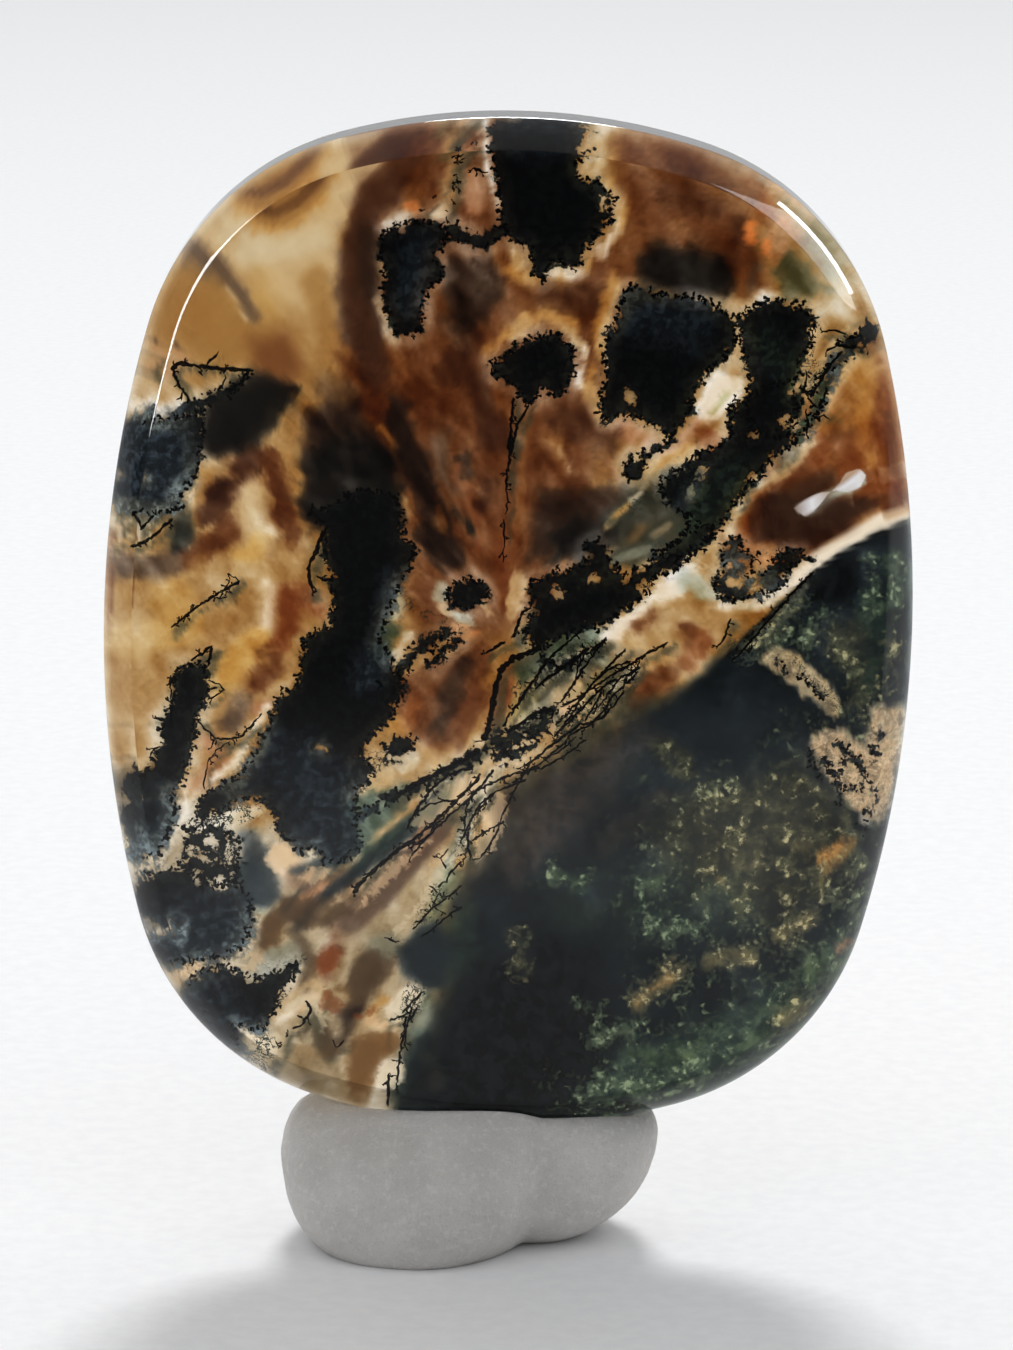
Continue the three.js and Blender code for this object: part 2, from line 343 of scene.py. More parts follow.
# Soft stains, painted one over the other: dye, half width (0 fills the outline), softness,
# strength, path
stains = [
    # the broad ground
    ("honey", 0, 60, 1.0, "60,80 960,80 960,1180 60,1180"),
    ("tan", 0, 80, 0.9, "150,260 250,190 340,160 345,260 330,380 300,400 300,480 280,700 240,760 90,760 "
        "90,420"),
    ("brown", 0, 50, 0.95, "400,110 520,110 520,260 560,300 610,300 600,450 590,560 500,640 420,640 "
        "400,500 345,400 345,250"),
    ("brown", 0, 50, 0.95, "618,150 660,140 745,205 765,290 640,290 600,330 560,320 560,280 620,240"),
    ("rust", 0, 50, 0.9, "800,420 850,360 900,330 930,420 930,500 850,540 740,560 730,530 770,480"),
    ("tan", 0, 60, 0.9, "240,860 380,740 520,760 480,860 420,940 430,1040 400,1140 290,1120 240,1040"),
    ("tan", 0, 40, 0.9, "530,650 660,590 740,620 720,670 640,700 560,760 500,780"),
    # upper left
    ("cream", (26, 22), 34, 0.9, "405,128 375,153 345,190 318,214 290,240 250,250"),
    ("milk", (14, 10), 26, 0.55, "262,252 245,238"), ("straw", 18, 30, 0.45, "272,290 262,305"),
    ("amber", 0, 12, 0.9, "236,206 250,190 284,166 330,148 362,138 350,160 334,186 318,206 300,222 "
        "275,232 250,230"),
    ("brown", 0, 26, 0.95, "243,200 262,182 300,162 345,148 335,168 315,192 300,208 272,220 252,218"),
    ("honey", 9, 14, 0.6, "263,192 275,186"), ("tan", 10, 16, 0.7, "232,210 212,232"),
    ("honey", 0, 40, 0.75, "195,290 225,270 260,310 300,330 300,380 220,380 175,350"),
    ("mauve", 0, 18, 0.8, "205,268 216,260 232,272 234,288 215,292 204,282"),
    ("mauve", 10, 10, 0.85, "194,262 186,282"), ("mauve", (7, 5), 9, 0.7, "240,290 248,304 253,316"),
    ("cream", 4, 6, 0.5, "229,292 240,312 250,322"), ("salmon", 12, 20, 0.55, "172,372 178,356"),
    ("honey", 10, 16, 0.6, "190,384 212,376"), ("caramel", 6, 8, 0.8, "176,300 160,350 148,386"),
    ("brown", 5, 8, 0.8, "160,318 146,372"), ("olive", 4, 8, 0.5, "172,296 160,330"),
    ("bark", 2.5, 3, 0.8, "175,343"),
    # the dark band beside it
    ("brown", (24, 18), 22, 0.95, "428,140 405,165 380,192 362,216"),
    ("umber", (16, 17), 18, 0.9, "392,186 366,206 355,232 354,270 360,305 368,340 376,372"),
    ("bark", (12, 13), 16, 0.85, "360,222 357,262 366,300 374,350"),
    ("mauve", 7, 12, 0.6, "340,262 340,304 352,340"), ("caramel", 8, 14, 0.8, "418,190 396,216"),
    # the orange dot here is a painted glint, a reflection of a lamp
    ("orange", 5, 5, 0.95, "409,206 415,206"), ("tan", 9, 10, 0.85, "384,272 380,258"),
    ("tan", 6, 8, 0.85, "376,292 388,326 396,342"), ("milk", 6, 7, 0.8, "384,231 398,216 408,212"),
    ("caramel", 10, 14, 0.6, "390,352 404,372"),
    # between the upper clumps
    ("olive", 9, 12, 0.5, "455,134 444,160"), ("tan", 10, 12, 0.8, "466,150 452,186 444,210"),
    ("white", 0, 9, 0.95, "470,122 486,122 494,160 499,204 492,212 484,170 468,152"),
    ("salmon", 8, 12, 0.85, "472,180 474,206"), ("cream", 5, 6, 0.8, "440,212 436,220"),
    ("bark", 0, 20, 0.9, "450,258 494,252 508,280 496,306 462,344 446,328"),
    ("umber", 12, 24, 0.7, "470,340 452,372"), ("caramel", 6, 9, 0.85, "498,250 505,268"),
    ("amber", 7, 9, 0.9, "512,268 530,276 560,279 585,266"),
    ("white", 5, 6, 0.9, "545,272 557,268 574,274"), ("cream", 5, 7, 0.9, "520,264 516,250"),
    ("white", 6, 7, 0.9, "600,254 612,240 620,224"), ("amber", 6, 10, 0.8, "624,226 620,200 612,182"),
    ("cream", 8, 10, 0.8, "596,170 604,150 610,134"), ("milk", 4, 5, 0.9, "588,160 584,166"),
    ("caramel", 12, 20, 0.7, "636,150 660,152"), ("umber", 16, 24, 0.6, "548,296 600,300"),
    ("umber", 10, 20, 0.5, "668,196 716,206"), ("caramel", 8, 12, 0.7, "676,222 688,232"),
    ("caramel", 12, 20, 0.5, "640,240 628,262"), ("umber", 9, 14, 0.6, "738,222 744,240"),
    # round clump and what surrounds it
    ("amber", 8, 12, 0.9, "488,352 506,334 528,322 552,316 572,326"),
    ("tan", 6, 8, 0.9, "568,332 582,346 588,366"), ("white", 5, 6, 0.9, "584,350 584,368 576,388"),
    ("caramel", 6, 8, 0.8, "494,384 500,400 512,412"),
    # the first right clump
    ("amber", 8, 10, 0.9, "616,278 606,304 600,330 598,350"), ("white", 6, 6, 0.9, "611,348 611,366"),
    ("amber", 8, 10, 0.85, "590,372 590,398 600,420"),
    ("salmon", 7, 9, 0.9, "606,428 630,428 652,440 664,448"),
    ("salmon", 6, 8, 0.8, "678,446 694,424 704,414"), ("rust", 7, 9, 0.7, "702,440 708,450"),
    ("soot", 0, 22, 0.92, "640,262 655,248 690,244 718,256 728,280 716,300 680,300 640,292"),
    # top right
    ("salmon", 0, 26, 0.75, "730,186 760,190 790,230 800,262 776,262 752,220"),
    # the pale patch and the white line below are a painted reflection and a painted highlight along the
    # shoulder
    ("mist", 0, 22, 0.95, "760,190 790,198 824,228 848,262 852,300 836,298 814,270 796,244 780,222"),
    ("white", (5, 7), 12, 0.75, "772,196 804,212 830,238 846,262"),
    ("milk", 12, 18, 0.8, "848,290 850,306"), ("tan", 5, 6, 0.8, "800,190 836,226 858,262 872,300"),
    ("caramel", 8, 12, 0.6, "760,214 772,236"), ("mauve", 7, 14, 0.7, "752,262 746,282"),
    ("caramel", 6, 10, 0.7, "734,272 738,292"),
    ("olive", 0, 16, 0.92, "771,270 792,250 812,266 832,290 812,302 784,300"),
    ("tan", 8, 10, 0.9, "712,300 730,307 744,312 760,300"), ("white", 6, 7, 0.9, "762,296 776,292"),
    # the two orange dots are painted glints, reflections of lamps
    ("orange", 5, 4, 0.95, "748,224 749,236"), ("orange", 4, 4, 0.85, "765,238 766,250"),
    ("milk", 9, 12, 0.85, "826,312 840,310 850,318"),
    # the white patch between the right clumps
    ("white", 0, 7, 0.98, "708,372 722,365 736,370 742,380 736,396 726,412 716,424 700,424 690,412 "
        "696,396"),
    ("lime", 4, 7, 0.5, "720,396 710,412"), ("tan", 6, 8, 0.9, "722,428 726,414"),
    ("cream", 6, 7, 0.9, "716,432 724,440"), ("rust", 7, 10, 0.8, "700,438 712,442"),
    ("tan", 0, 9, 0.9, "660,462 700,448 708,456 690,472 664,490"),
    # the right rim above the pale band
    ("tan", 0, 16, 0.85, "846,352 880,352 884,392 862,400 840,384"),
    ("brown", 0, 22, 0.85, "836,392 858,388 856,432 838,448 824,440"),
    ("amber", 10, 16, 0.75, "866,410 874,456"), ("caramel", 9, 14, 0.6, "832,458 826,476"),
    ("brown", 7, 10, 0.85, "895,420 902,480"), ("milk", 6, 8, 0.9, "808,444 792,458 776,478 758,490"),
    ("cream", 7, 9, 0.9, "740,508 732,528"),
    ("umber", 0, 18, 0.9, "752,512 770,492 800,486 850,500 872,498 850,526 822,546 790,548 756,540"),
    ("rust", 9, 14, 0.8, "880,488 902,484"),
    ("orange", 0, 10, 0.55, "748,548 780,544 812,548 806,556 770,560"),
    ("tan", 6, 8, 0.8, "880,512 850,526 830,542 812,554"),
    ("white", (6, 7), 6, 0.98, "908,508 876,522 844,540 824,553 806,568 790,582 772,594 760,602"),
    ("sand", 0, 30, 0.9, "90,790 200,800 280,830 290,870 270,1000 280,1100 200,1090 140,1010 100,900"),
    ("fallow", 0, 20, 0.7, "100,850 170,840 260,860 260,900 170,900 110,910"),
    # left rim and the pale body below the left moss
    ("white", 0, 8, 0.95, "110,394 134,394 150,408 182,402 186,418 150,424 108,424"),
    ("milk", 4, 4, 0.95, "184,412 198,403"),
    ("white", 0, 8, 0.9, "106,516 136,514 156,520 152,534 130,536 106,532"),
    ("milk", 4, 4, 0.9, "187,492 189,502"), ("milk", 5, 4, 0.9, "136,476 140,478"),
    ("brown", 7, 4, 0.9, "124,534 124,632"), ("honey", 5, 5, 0.6, "123,610 123,640"),
    ("mauve", 0, 16, 0.85, "134,550 184,546 192,566 160,576 134,572"),
    ("slate", 9, 16, 0.6, "178,516 180,540"), ("amber", 8, 10, 0.85, "206,478 200,500 198,516"),
    ("umber", (12, 11), 14, 0.92, "248,462 232,484 216,500 206,514"),
    ("brown", 10, 14, 0.85, "230,530 212,546 190,560"), ("honey", 9, 18, 0.7, "196,570 168,606"),
    ("brown", (8, 11), 12, 0.9, "270,456 276,482 286,514 294,546"),
    ("amber", 6, 9, 0.85, "298,450 298,480 302,506"),
    ("cream", (13, 12), 18, 0.9, "248,488 250,512 260,532"), ("white", 4, 8, 0.7, "270,530 278,536"),
    ("straw", 10, 14, 0.8, "262,546 246,562"), ("honey", 8, 12, 0.6, "288,552 282,572"),
    ("cream", 9, 12, 0.85, "240,576 262,576 268,590"), ("honey", 12, 16, 0.7, "250,600 236,616 216,624"),
    ("white", (6, 4), 14, 0.75, "276,592 274,614 260,636"),
    ("straw", 14, 18, 0.75, "256,646 234,668 222,680"), ("straw", 16, 22, 0.6, "170,590 190,630 150,640"),
    ("cream", 10, 16, 0.6, "138,636 150,660"), ("tan", 14, 20, 0.7, "130,690 140,730"),
    ("honey", 10, 16, 0.5, "160,660 168,690"), ("rust", 9, 13, 0.9, "296,596 292,622 280,644"),
    ("brown", 9, 13, 0.9, "274,656 276,670 258,682"), ("tan", 5, 6, 0.9, "294,678 290,690"),
    ("tan", 6, 7, 0.9, "306,530 302,560 300,588"), ("rust", 8, 11, 0.85, "310,592 318,612"),
    ("mauve", 11, 16, 0.85, "240,704 228,722"), ("salmon", 8, 12, 0.7, "262,706 272,700"),
    ("salmon", 10, 14, 0.8, "210,740 222,760 206,786"), ("caramel", 8, 12, 0.6, "226,770 212,786"),
    ("white", 5, 5, 0.9, "272,706 258,728 244,750 232,768 218,782"),
    ("salmon", 7, 9, 0.7, "190,786 196,800"), ("white", 5, 5, 0.9, "188,796 184,816 178,832"),
    ("milk", 4, 4, 0.9, "170,844 160,860 154,872"), ("honey", 12, 18, 0.6, "122,760 130,740"),
    ("milk", 6, 8, 0.85, "132,770 126,784"),
    ("milk", 0, 5, 0.95, "196,824 214,820 238,804 262,804 270,810 258,822 234,832 214,836 196,834"),
    # soft dark clouds, left and middle
    ("soot", 0, 18, 0.96, "208,414 216,396 246,380 284,378 290,390 280,412 268,436 244,448 216,450 "
        "200,446"),
    ("bark", 0, 26, 0.9, "306,420 330,404 356,404 380,440 398,470 402,520 310,530 300,480"),
    ("soot", 0, 22, 0.9, "308,450 350,436 384,456 398,490 404,520 318,530 304,490"),
    ("mauve", 10, 20, 0.5, "318,386 344,396"), ("umber", 9, 12, 0.8, "408,400 404,420"),
    ("amber", 5, 6, 0.7, "382,428 392,440 398,462"), ("tan", 3.5, 4, 0.85, "403,500 407,516"),
    ("bark", (12, 15), 14, 0.93, "402,406 408,450 426,496 440,540 448,556"),
    ("soot", 6, 8, 0.85, "452,516 466,526 470,530"), ("bark", 14, 16, 0.9, "436,536 452,552"),
    ("caramel", 5, 7, 0.8, "434,512 442,530"), ("mauve", (12, 4), 16, 0.7, "440,436 450,500"),
    ("bark", (6, 7), 9, 0.9, "464,450 470,472"), ("umber", (12, 14), 18, 0.8, "480,384 488,410 494,440"),
    ("rust", 5, 9, 0.5, "468,486 476,520 480,548"), ("umber", 7, 12, 0.8, "484,488 482,508"),
    ("caramel", (6, 5), 9, 0.75, "524,420 522,450 518,490 514,540"),
    ("rust", 10, 14, 0.6, "504,548 508,600"), ("amber", 8, 16, 0.55, "548,440 558,464"),
    ("milk", 3.5, 8, 0.5, "556,452 566,474"), ("umber", 14, 20, 0.7, "568,418 600,440 606,450"),
    ("bark", 0, 22, 0.93, "530,560 526,520 536,496 570,496 606,484 630,490 640,520 612,540 590,548 "
        "566,560"),
    ("caramel", 7, 9, 0.8, "604,456 620,478"),
    ("soot", 0, 16, 0.92, "548,540 590,520 640,490 700,470 690,520 650,545 610,550 580,562 550,566"),
    ("amber", 5, 7, 0.85, "606,530 618,512"), ("tan", 6, 8, 0.9, "652,534 668,518"),
    ("white", (5, 6), 6, 0.95, "612,562 628,552 646,546"), ("mist", 5, 6, 0.8, "650,546 664,536"),
    ("cream", (8, 7), 8, 0.92, "520,580 516,600 512,612"), ("mist", 6, 7, 0.85, "446,586 442,596"),
    ("cream", 4, 5, 0.85, "442,606 450,612"), ("mist", 5, 6, 0.9, "458,616 468,622"),
    ("tan", 5, 6, 0.9, "484,600 488,612"), ("orange", 6, 9, 0.6, "456,628 466,636"),
    ("mist", 7, 8, 0.75, "398,598 394,616 400,606"), ("moss", 8, 12, 0.8, "392,630 384,652"),
    ("milk", 4, 5, 0.85, "408,636 398,654 386,672"),
    # under the diagonal of moss
    ("brown", 0, 20, 0.95, "402,680 430,664 470,642 500,650 486,700 462,744 420,750 400,716"),
    ("bark", 10, 18, 0.75, "464,664 452,700 444,726"), ("orange", 8, 14, 0.35, "420,704 410,724"),
    ("amber", 6, 8, 0.8, "398,724 420,744 440,762"), ("rust", (7, 6), 9, 0.85, "512,668 502,700 494,730"),
    ("moss", 12, 16, 0.85, "530,668 556,648 590,636"), ("lime", 8, 12, 0.5, "540,690 520,712"),
    ("tan", 8, 9, 0.85, "566,680 560,690"), ("salmon", 10, 12, 0.8, "580,700 560,716 544,722"),
    ("mist", 9, 10, 0.85, "586,668 606,664"), ("white", 4, 5, 0.9, "622,682 634,672"),
    ("cream", 8, 10, 0.9, "640,628 632,648"),
    ("white", (6, 11), 11, 0.95, "616,628 640,608 664,588 690,572"),
    ("mist", 9, 11, 0.85, "690,578 708,592"), ("white", 6, 7, 0.85, "724,604 734,606"),
    ("tan", 14, 16, 0.85, "664,620 690,614 718,624"), ("brown", 9, 11, 0.85, "686,632 690,642"),
    ("brown", 7, 9, 0.75, "640,624 648,616"), ("rust", 10, 13, 0.8, "704,646 688,660"),
    ("honey", 10, 14, 0.6, "672,640 660,656"), ("brown", 11, 14, 0.75, "664,676 640,696"),
    ("amber", 8, 12, 0.7, "614,712 598,730"), ("honey", 8, 11, 0.8, "540,728 546,738"),
    # the pale fan below the knot
    ("peach", 0, 8, 0.95, "439,791 452,780 466,775 481,775 478,791 462,802 446,812 426,826 408,827 "
        "420,808"),
    ("cream", 6, 8, 0.8, "452,786 436,804"), ("fallow", 8, 12, 0.6, "470,800 458,816"),
    ("white", (6, 5), 7, 0.8, "499,772 486,788 472,812 464,836 460,850"),
    ("ash", 5, 8, 0.6, "478,796 464,822 452,846"),
    ("peach", 0, 8, 0.85, "476,842 484,818 500,790 507,800 504,828 490,852 474,860"),
    ("fawn", 0, 14, 0.9, "446,812 430,838 404,872 376,900 352,918 344,902 372,872 404,838 424,820"),
    ("salmon", 5, 9, 0.6, "436,826 404,858 380,884"),
    ("haze", 0, 24, 0.8, "500,800 560,760 600,740 580,790 530,860 500,900 478,880"),
    ("cream", 6, 8, 0.85, "442,878 430,900 418,930"), ("mist", 6, 7, 0.8, "452,860 440,890"),
    ("milk", 5, 6, 0.8, "424,916 414,932"),
    # bottom middle
    ("sand", 0, 40, 0.9, "250,860 300,840 380,860 430,870 436,940 420,1000 400,1100 330,1120 270,1080 "
        "240,1040 290,1000 270,950"),
    ("milk", 7, 7, 0.9, "396,756 404,766 420,756"), ("cream", 8, 8, 0.9, "384,772 374,788 366,804"),
    ("forest", 0, 18, 0.8, "331,813 352,800 384,796 410,786 392,820 366,850 336,868"),
    ("mist", 5, 8, 0.6, "398,790 384,804"), ("slate", 12, 20, 0.75, "246,842 258,868"),
    ("peach", 0, 9, 0.95, "270,848 284,840 298,850 294,866 280,874 266,864"),
    ("milk", 6, 7, 0.8, "302,858 312,852"), ("fawn", 13, 16, 0.85, "300,884 322,896 344,880"),
    ("salmon", 7, 9, 0.7, "322,884 312,900"), ("brick", 8, 12, 0.5, "336,888 326,902"),
    ("cocoa", 8, 14, 0.55, "290,914 318,908 344,896"),
    ("slate", (3, 2), 6, 0.5, "292,934 330,900 372,860"),
    ("slate", (2, 3), 6, 0.4, "280,916 312,884 334,868"), ("mist", 9, 9, 0.85, "256,906 264,912"),
    ("cocoa", 12, 12, 0.92, "276,922 268,940"), ("sand", 6, 8, 0.9, "254,938 250,952"),
    ("ash", 14, 14, 0.75, "262,966 280,960 300,954"), ("fawn", 9, 12, 0.7, "362,906 346,926"),
    ("brick", 8, 12, 0.8, "334,950 324,972"), ("fallow", 13, 16, 0.8, "380,932 364,956 352,978"),
    ("cocoa", 11, 13, 0.8, "384,964 372,984 358,1002"), ("clay", 9, 10, 0.6, "346,984 340,972"),
    ("clay", 0, 6, 0.9, "325,988 346,1008 330,1017 320,1006"),
    ("peach", 5, 6, 0.8, "298,1004 310,998 320,1004 324,1018"), ("sand", 8, 8, 0.85, "308,1020 302,1044"),
    ("cocoa", 8, 10, 0.85, "320,1028 328,1044"), ("haze", 7, 10, 0.6, "346,1014 350,1030 338,1046"),
    ("sand", 7, 9, 0.7, "336,1020 340,1034"), ("bark", 4, 6, 0.75, "362,1008 352,1014"),
    ("amber", 6, 8, 0.7, "372,1012 386,1000"),
    ("white", 0, 7, 0.95, "384,1012 398,996 414,984 424,990 420,1008 404,1018 390,1026"),
    ("sage", 6, 8, 0.7, "424,1000 428,1018 418,1036"),
    ("clay", 0, 9, 0.92, "350,1052 366,1036 392,1032 402,1046 384,1058 374,1076 366,1098 352,1104 "
        "346,1078"),
    ("amber", 4, 6, 0.5, "378,1042 394,1040"), ("peach", 5, 7, 0.85, "372,1022 392,1030"),
    ("white", 0, 7, 0.95, "377,1070 388,1060 402,1062 403,1080 390,1090 378,1084"),
    ("white", 4, 4, 0.9, "288,1008 276,1018"),
    ("white", 0, 7, 0.95, "237,1030 262,1028 280,1034 276,1052 258,1062 244,1048"),
    ("fallow", 0, 12, 0.9, "273,1066 290,1048 310,1056 318,1084 298,1100 276,1088"),
    ("fallow", 8, 12, 0.8, "320,1060 334,1082 330,1100"),
    ("cocoa", 7, 12, 0.5, "300,1104 340,1114 380,1116"),
    ("forest", 0, 12, 0.92, "406,1040 420,1030 436,1050 430,1120 396,1124 400,1070"),
    ("peach", 0, 7, 0.95, "163,966 186,959 206,962 196,978 176,988 168,984"),
    ("salmon", 4, 7, 0.5, "180,972 196,968"),
    # finer tones of the middle
    ("haze", 0, 16, 0.7, "572,756 600,742 640,724 664,730 640,750 600,772 560,790"),
    ("fallow", 0, 16, 0.75, "530,676 560,656 606,644 640,650 600,676 566,690 540,700"),
    ("mist", 8, 10, 0.8, "584,668 606,660"), ("ash", 9, 12, 0.6, "548,700 536,720"),
    ("bog", 0, 22, 0.85, "600,520 612,500 640,486 672,474 700,470 690,500 660,530 620,548"),
    ("amber", 6, 8, 0.85, "652,470 668,460 686,452"), ("fallow", 6, 8, 0.85, "656,534 670,524"),
    ("ash", (6, 8), 8, 0.9, "612,560 628,554 646,548"), ("sage", 7, 10, 0.7, "690,484 698,502"),
    ("brown", 0, 22, 0.85, "756,470 790,456 824,468 830,492 800,500 770,500"),
    ("umber", 0, 18, 0.9, "752,518 770,496 800,492 850,500 866,504 846,528 822,546 790,550 758,542"),
    ("amber", 0, 14, 0.7, "806,396 842,350 872,352 884,400 868,420 840,430 812,430"),
    ("cream", (8, 6), 9, 0.9, "806,440 790,456 776,474 760,492"), ("bog", 8, 14, 0.6, "790,446 776,458"),
    # a pale patch with two lobes, like a bow tie
    ("mist", 0, 3, 0.98, "794,509 806,498 822,492 834,488 826,500 815,510 808,515"),
    ("mist", 0, 3, 0.98, "828,495 838,484 846,475 860,470 865,477 858,487 850,491 838,493"),
    ("white", 2, 2, 0.95, "852,499 853,500"),
]

# Finer marks on top of the stains and the cloud, as the stains
marks = [
    ("cream", 0, 18, 0.75, "250,240 290,232 332,224 340,250 332,292 306,312 270,292"),
    ("milk", (12, 10), 20, 0.5, "262,250 300,246 326,236"),
    ("cream", (11, 9), 14, 0.7, "330,226 346,198 368,168 390,144"),
    ("honey", 0, 9, 0.85, "238,192 262,170 300,156 336,150 338,162 322,190 302,214 284,228 262,226 "
        "246,214"),
    ("umber", (4, 6), 9, 0.6, "256,210 276,212 298,202 314,184 326,164"),
    ("caramel", 5, 9, 0.5, "258,190 276,184"),
    ("amber", (2, 4), 5, 0.6, "250,222 268,232 288,228 302,218"),
    ("umber", (10, 15), 12, 0.75, "422,148 398,166 370,192 360,222 356,262 358,300 364,336 378,370"),
    ("bark", 0, 12, 0.7, "358,228 382,234 378,262 382,292 368,304 356,270"),
    ("honey", 0, 30, 0.85, "184,284 214,274 236,296 262,326 292,346 312,380 250,372 200,356 172,340"),
    ("honey", (14, 8), 20, 0.7, "316,282 322,310 326,340"),
    ("brown", 0, 30, 0.7, "250,340 288,334 304,366 290,390 256,374"),
    ("mauve", (4, 6), 9, 0.6, "216,262 228,276 240,292 248,306 254,316"),
    ("milk", (1.2, 2.5), 3, 0.55, "226,286 236,302 247,318"),
    ("soot", 0, 16, 0.85, "206,420 214,398 244,380 264,374 282,384 284,402 274,426 260,440 236,452 "
        "210,454 200,440"),
    ("honey", (5, 8), 9, 0.6, "290,440 294,414 308,388 320,362 330,334"),
    # lower left
    ("dusk", (9, 4), 9, 0.85, "440,800 410,826 380,852 350,876 322,900 300,924"),
    ("mauve", (9, 14), 10, 0.8, "444,828 420,850 396,878 372,902 350,920"),
    ("brick", 5, 9, 0.4, "438,834 410,864"), ("peach", (2, 4), 4, 0.6, "376,882 366,894 358,908"),
    ("sage", 0, 11, 0.55, "450,866 436,890 424,916 412,936 424,942 440,920 454,896 464,876"),
    ("dusk", 0, 14, 0.85, "422,926 440,918 448,950 442,986 424,988 404,974 396,952"),
    ("ash", 0, 11, 0.7, "370,938 396,930 402,950 382,966 364,962"),
    ("dusk", 0, 10, 0.8, "238,862 262,862 276,878 280,898 262,906 244,900 236,880"),
    ("cocoa", 0, 10, 0.75, "284,898 310,902 338,900 352,910 330,926 300,930 282,918"),
    ("clay", 0, 5, 0.85, "262,922 276,912 284,924 280,944 264,950"),
    ("cocoa", (5, 7), 8, 0.7, "290,930 306,946 312,966 304,986"),
    ("ash", (3, 6), 6, 0.6, "330,1000 318,1024 322,1050"),
    ("bog", (4, 7), 8, 0.5, "316,1020 320,1042 330,1056"),
    ("clay", 5, 8, 0.5, "298,1050 320,1054 336,1048"),
    ("mist", 0, 8, 0.6, "428,992 434,1010 424,1034 410,1040 404,1026 416,1012"),
    # the clouded part
    ("ink", 0, 40, 0.6, "466,990 540,966 604,1000 606,1066 530,1094 460,1060"),
    ("amber", 0, 7, 0.8, "818,862 828,848 846,838 860,836 852,850 838,866 824,876"),
    ("amber", (7, 5), 8, 0.55, "636,1006 652,993 674,976"),
    ("reed", (5, 7), 9, 0.5, "710,962 730,952 750,954"),
    ("reed", (4, 6), 8, 0.5, "776,936 796,926 818,918"), ("fern", 5, 9, 0.5, "650,886 660,878"),
    ("peach", 0, 8, 0.7, "806,748 822,732 842,730 862,748 866,730 880,712 898,704 912,716 908,760 "
        "896,776 893,806 882,820 866,818 850,804 836,788 818,770"),
    ("bark", 0, 20, 0.5, "764,502 800,480 832,470 842,484 820,496 850,500 880,500 846,524 800,542 "
        "762,536"),
    ("pearl", 0, 2.5, 1.0, "795,509 804,501 816,496 827,493 822,499 814,509 806,515"),
    ("pearl", 0, 2.5, 1.0, "835,490 841,484 847,475 859,470 864,476 858,486 848,490"),
    ("white", (5, 7), 13, 1.0, "910,512 885,520 860,532 836,546 814,561 796,577 780,588 766,597"),
    ("milk", 5, 7, 0.8, "770,598 752,606 738,604"),
    ("ink", (1.2, 3), 6, 0.8, "905,525 872,539 842,555 816,574 796,593 776,612 752,634 728,658"),
    ("mist", (2, 3.4), 6, 0.8, "806,586 788,606 768,628 748,648"),
    # the three small orange dots here are painted glints, reflections of lamps
    ("sage", (3, 5), 6, 0.7, "800,600 782,618 766,636"), ("orange", 4, 3, 0.9, "748,226 749,236"),
    ("orange", 3, 3, 0.85, "765,240 766,250"), ("orange", 4, 3, 0.9, "409,206 416,206"),
    ("white", 2, 2, 0.9, "219,989 222,991"), ("white", 4, 4, 0.9, "154,920 166,930"),
    ("ink", 1.5, 1.5, 0.9, "182,918 184,932"),
    ("peach", 0, 6, 0.95, "162,966 176,961 196,960 208,964 198,976 184,984 170,986"),
    ("white", (3, 5), 5, 0.85, "700,540 690,548 684,556"), ("milk", 3, 4, 0.8, "630,500 640,494"),
    ("amber", 4, 5, 0.8, "616,516 628,506"),
    ("bog", 0, 14, 0.85, "612,552 640,530 672,512 700,500 712,480 720,492 700,530 664,552 636,566 "
        "616,566"),
    ("ash", (4, 6), 6, 0.9, "612,562 628,556 646,550"), ("fallow", 4, 6, 0.8, "654,534 668,526"),
    ("clay", 5, 7, 0.7, "632,540 640,528"), ("olive", (2, 3), 5, 0.7, "548,716 566,700 590,684 612,668"),
    ("olive", (2, 3), 5, 0.7, "560,724 584,704 606,690"),
    ("bog", (2, 3), 5, 0.7, "540,700 560,680 580,664 600,652"),
    ("cream", 6, 6, 0.85, "556,704 568,696 578,688"), ("peach", 7, 6, 0.8, "566,712 580,704"),
    ("milk", 4, 5, 0.85, "612,688 626,678 636,668"), ("bog", (2, 3), 5, 0.6, "470,862 482,846 496,830"),
    ("forest", (4, 6), 8, 0.7, "366,852 392,836 420,816 446,796"),
    ("forest", (3, 5), 8, 0.6, "352,868 380,852 404,832"),
    ("milk", (5, 7), 7, 0.85, "470,800 484,786 497,774"),
    ("cocoa", (2, 3), 5, 0.6, "300,898 320,884 342,870"),
    ("cocoa", (2, 3), 5, 0.6, "296,916 322,904 350,892"),
    ("dusk", (4, 6), 8, 0.7, "292,872 310,868 330,860 352,842"),
    ("cocoa", 0, 8, 0.85, "352,962 372,950 384,962 376,984 362,1002 350,1000 346,984"),
    ("rust", 0, 7, 0.8, "318,960 332,944 340,952 334,970 322,976"),
    ("sand", 4, 6, 0.8, "340,940 352,946 350,964 342,980"),
    ("cream", 4, 6, 0.8, "300,990 312,982 322,990"),
    ("clay", 0, 7, 0.8, "356,1046 372,1034 396,1032 400,1044 384,1054 374,1072 364,1090 352,1092 "
        "348,1068"),
    ("white", 0, 6, 0.95, "378,1068 390,1060 402,1064 402,1080 390,1088 379,1082"),
    ("white", 0, 6, 0.9, "386,1008 400,996 416,986 424,994 416,1010 402,1018 390,1022"),
    ("forest", (2, 3), 4, 0.7, "392,1020 408,1008 424,996"),
    ("cocoa", (3, 4), 6, 0.7, "356,1022 346,1034 334,1050"),
    ("salmon", 5, 6, 0.6, "300,900 312,890 324,884"), ("peach", 5, 6, 0.7, "320,912 336,900 350,890"),
]

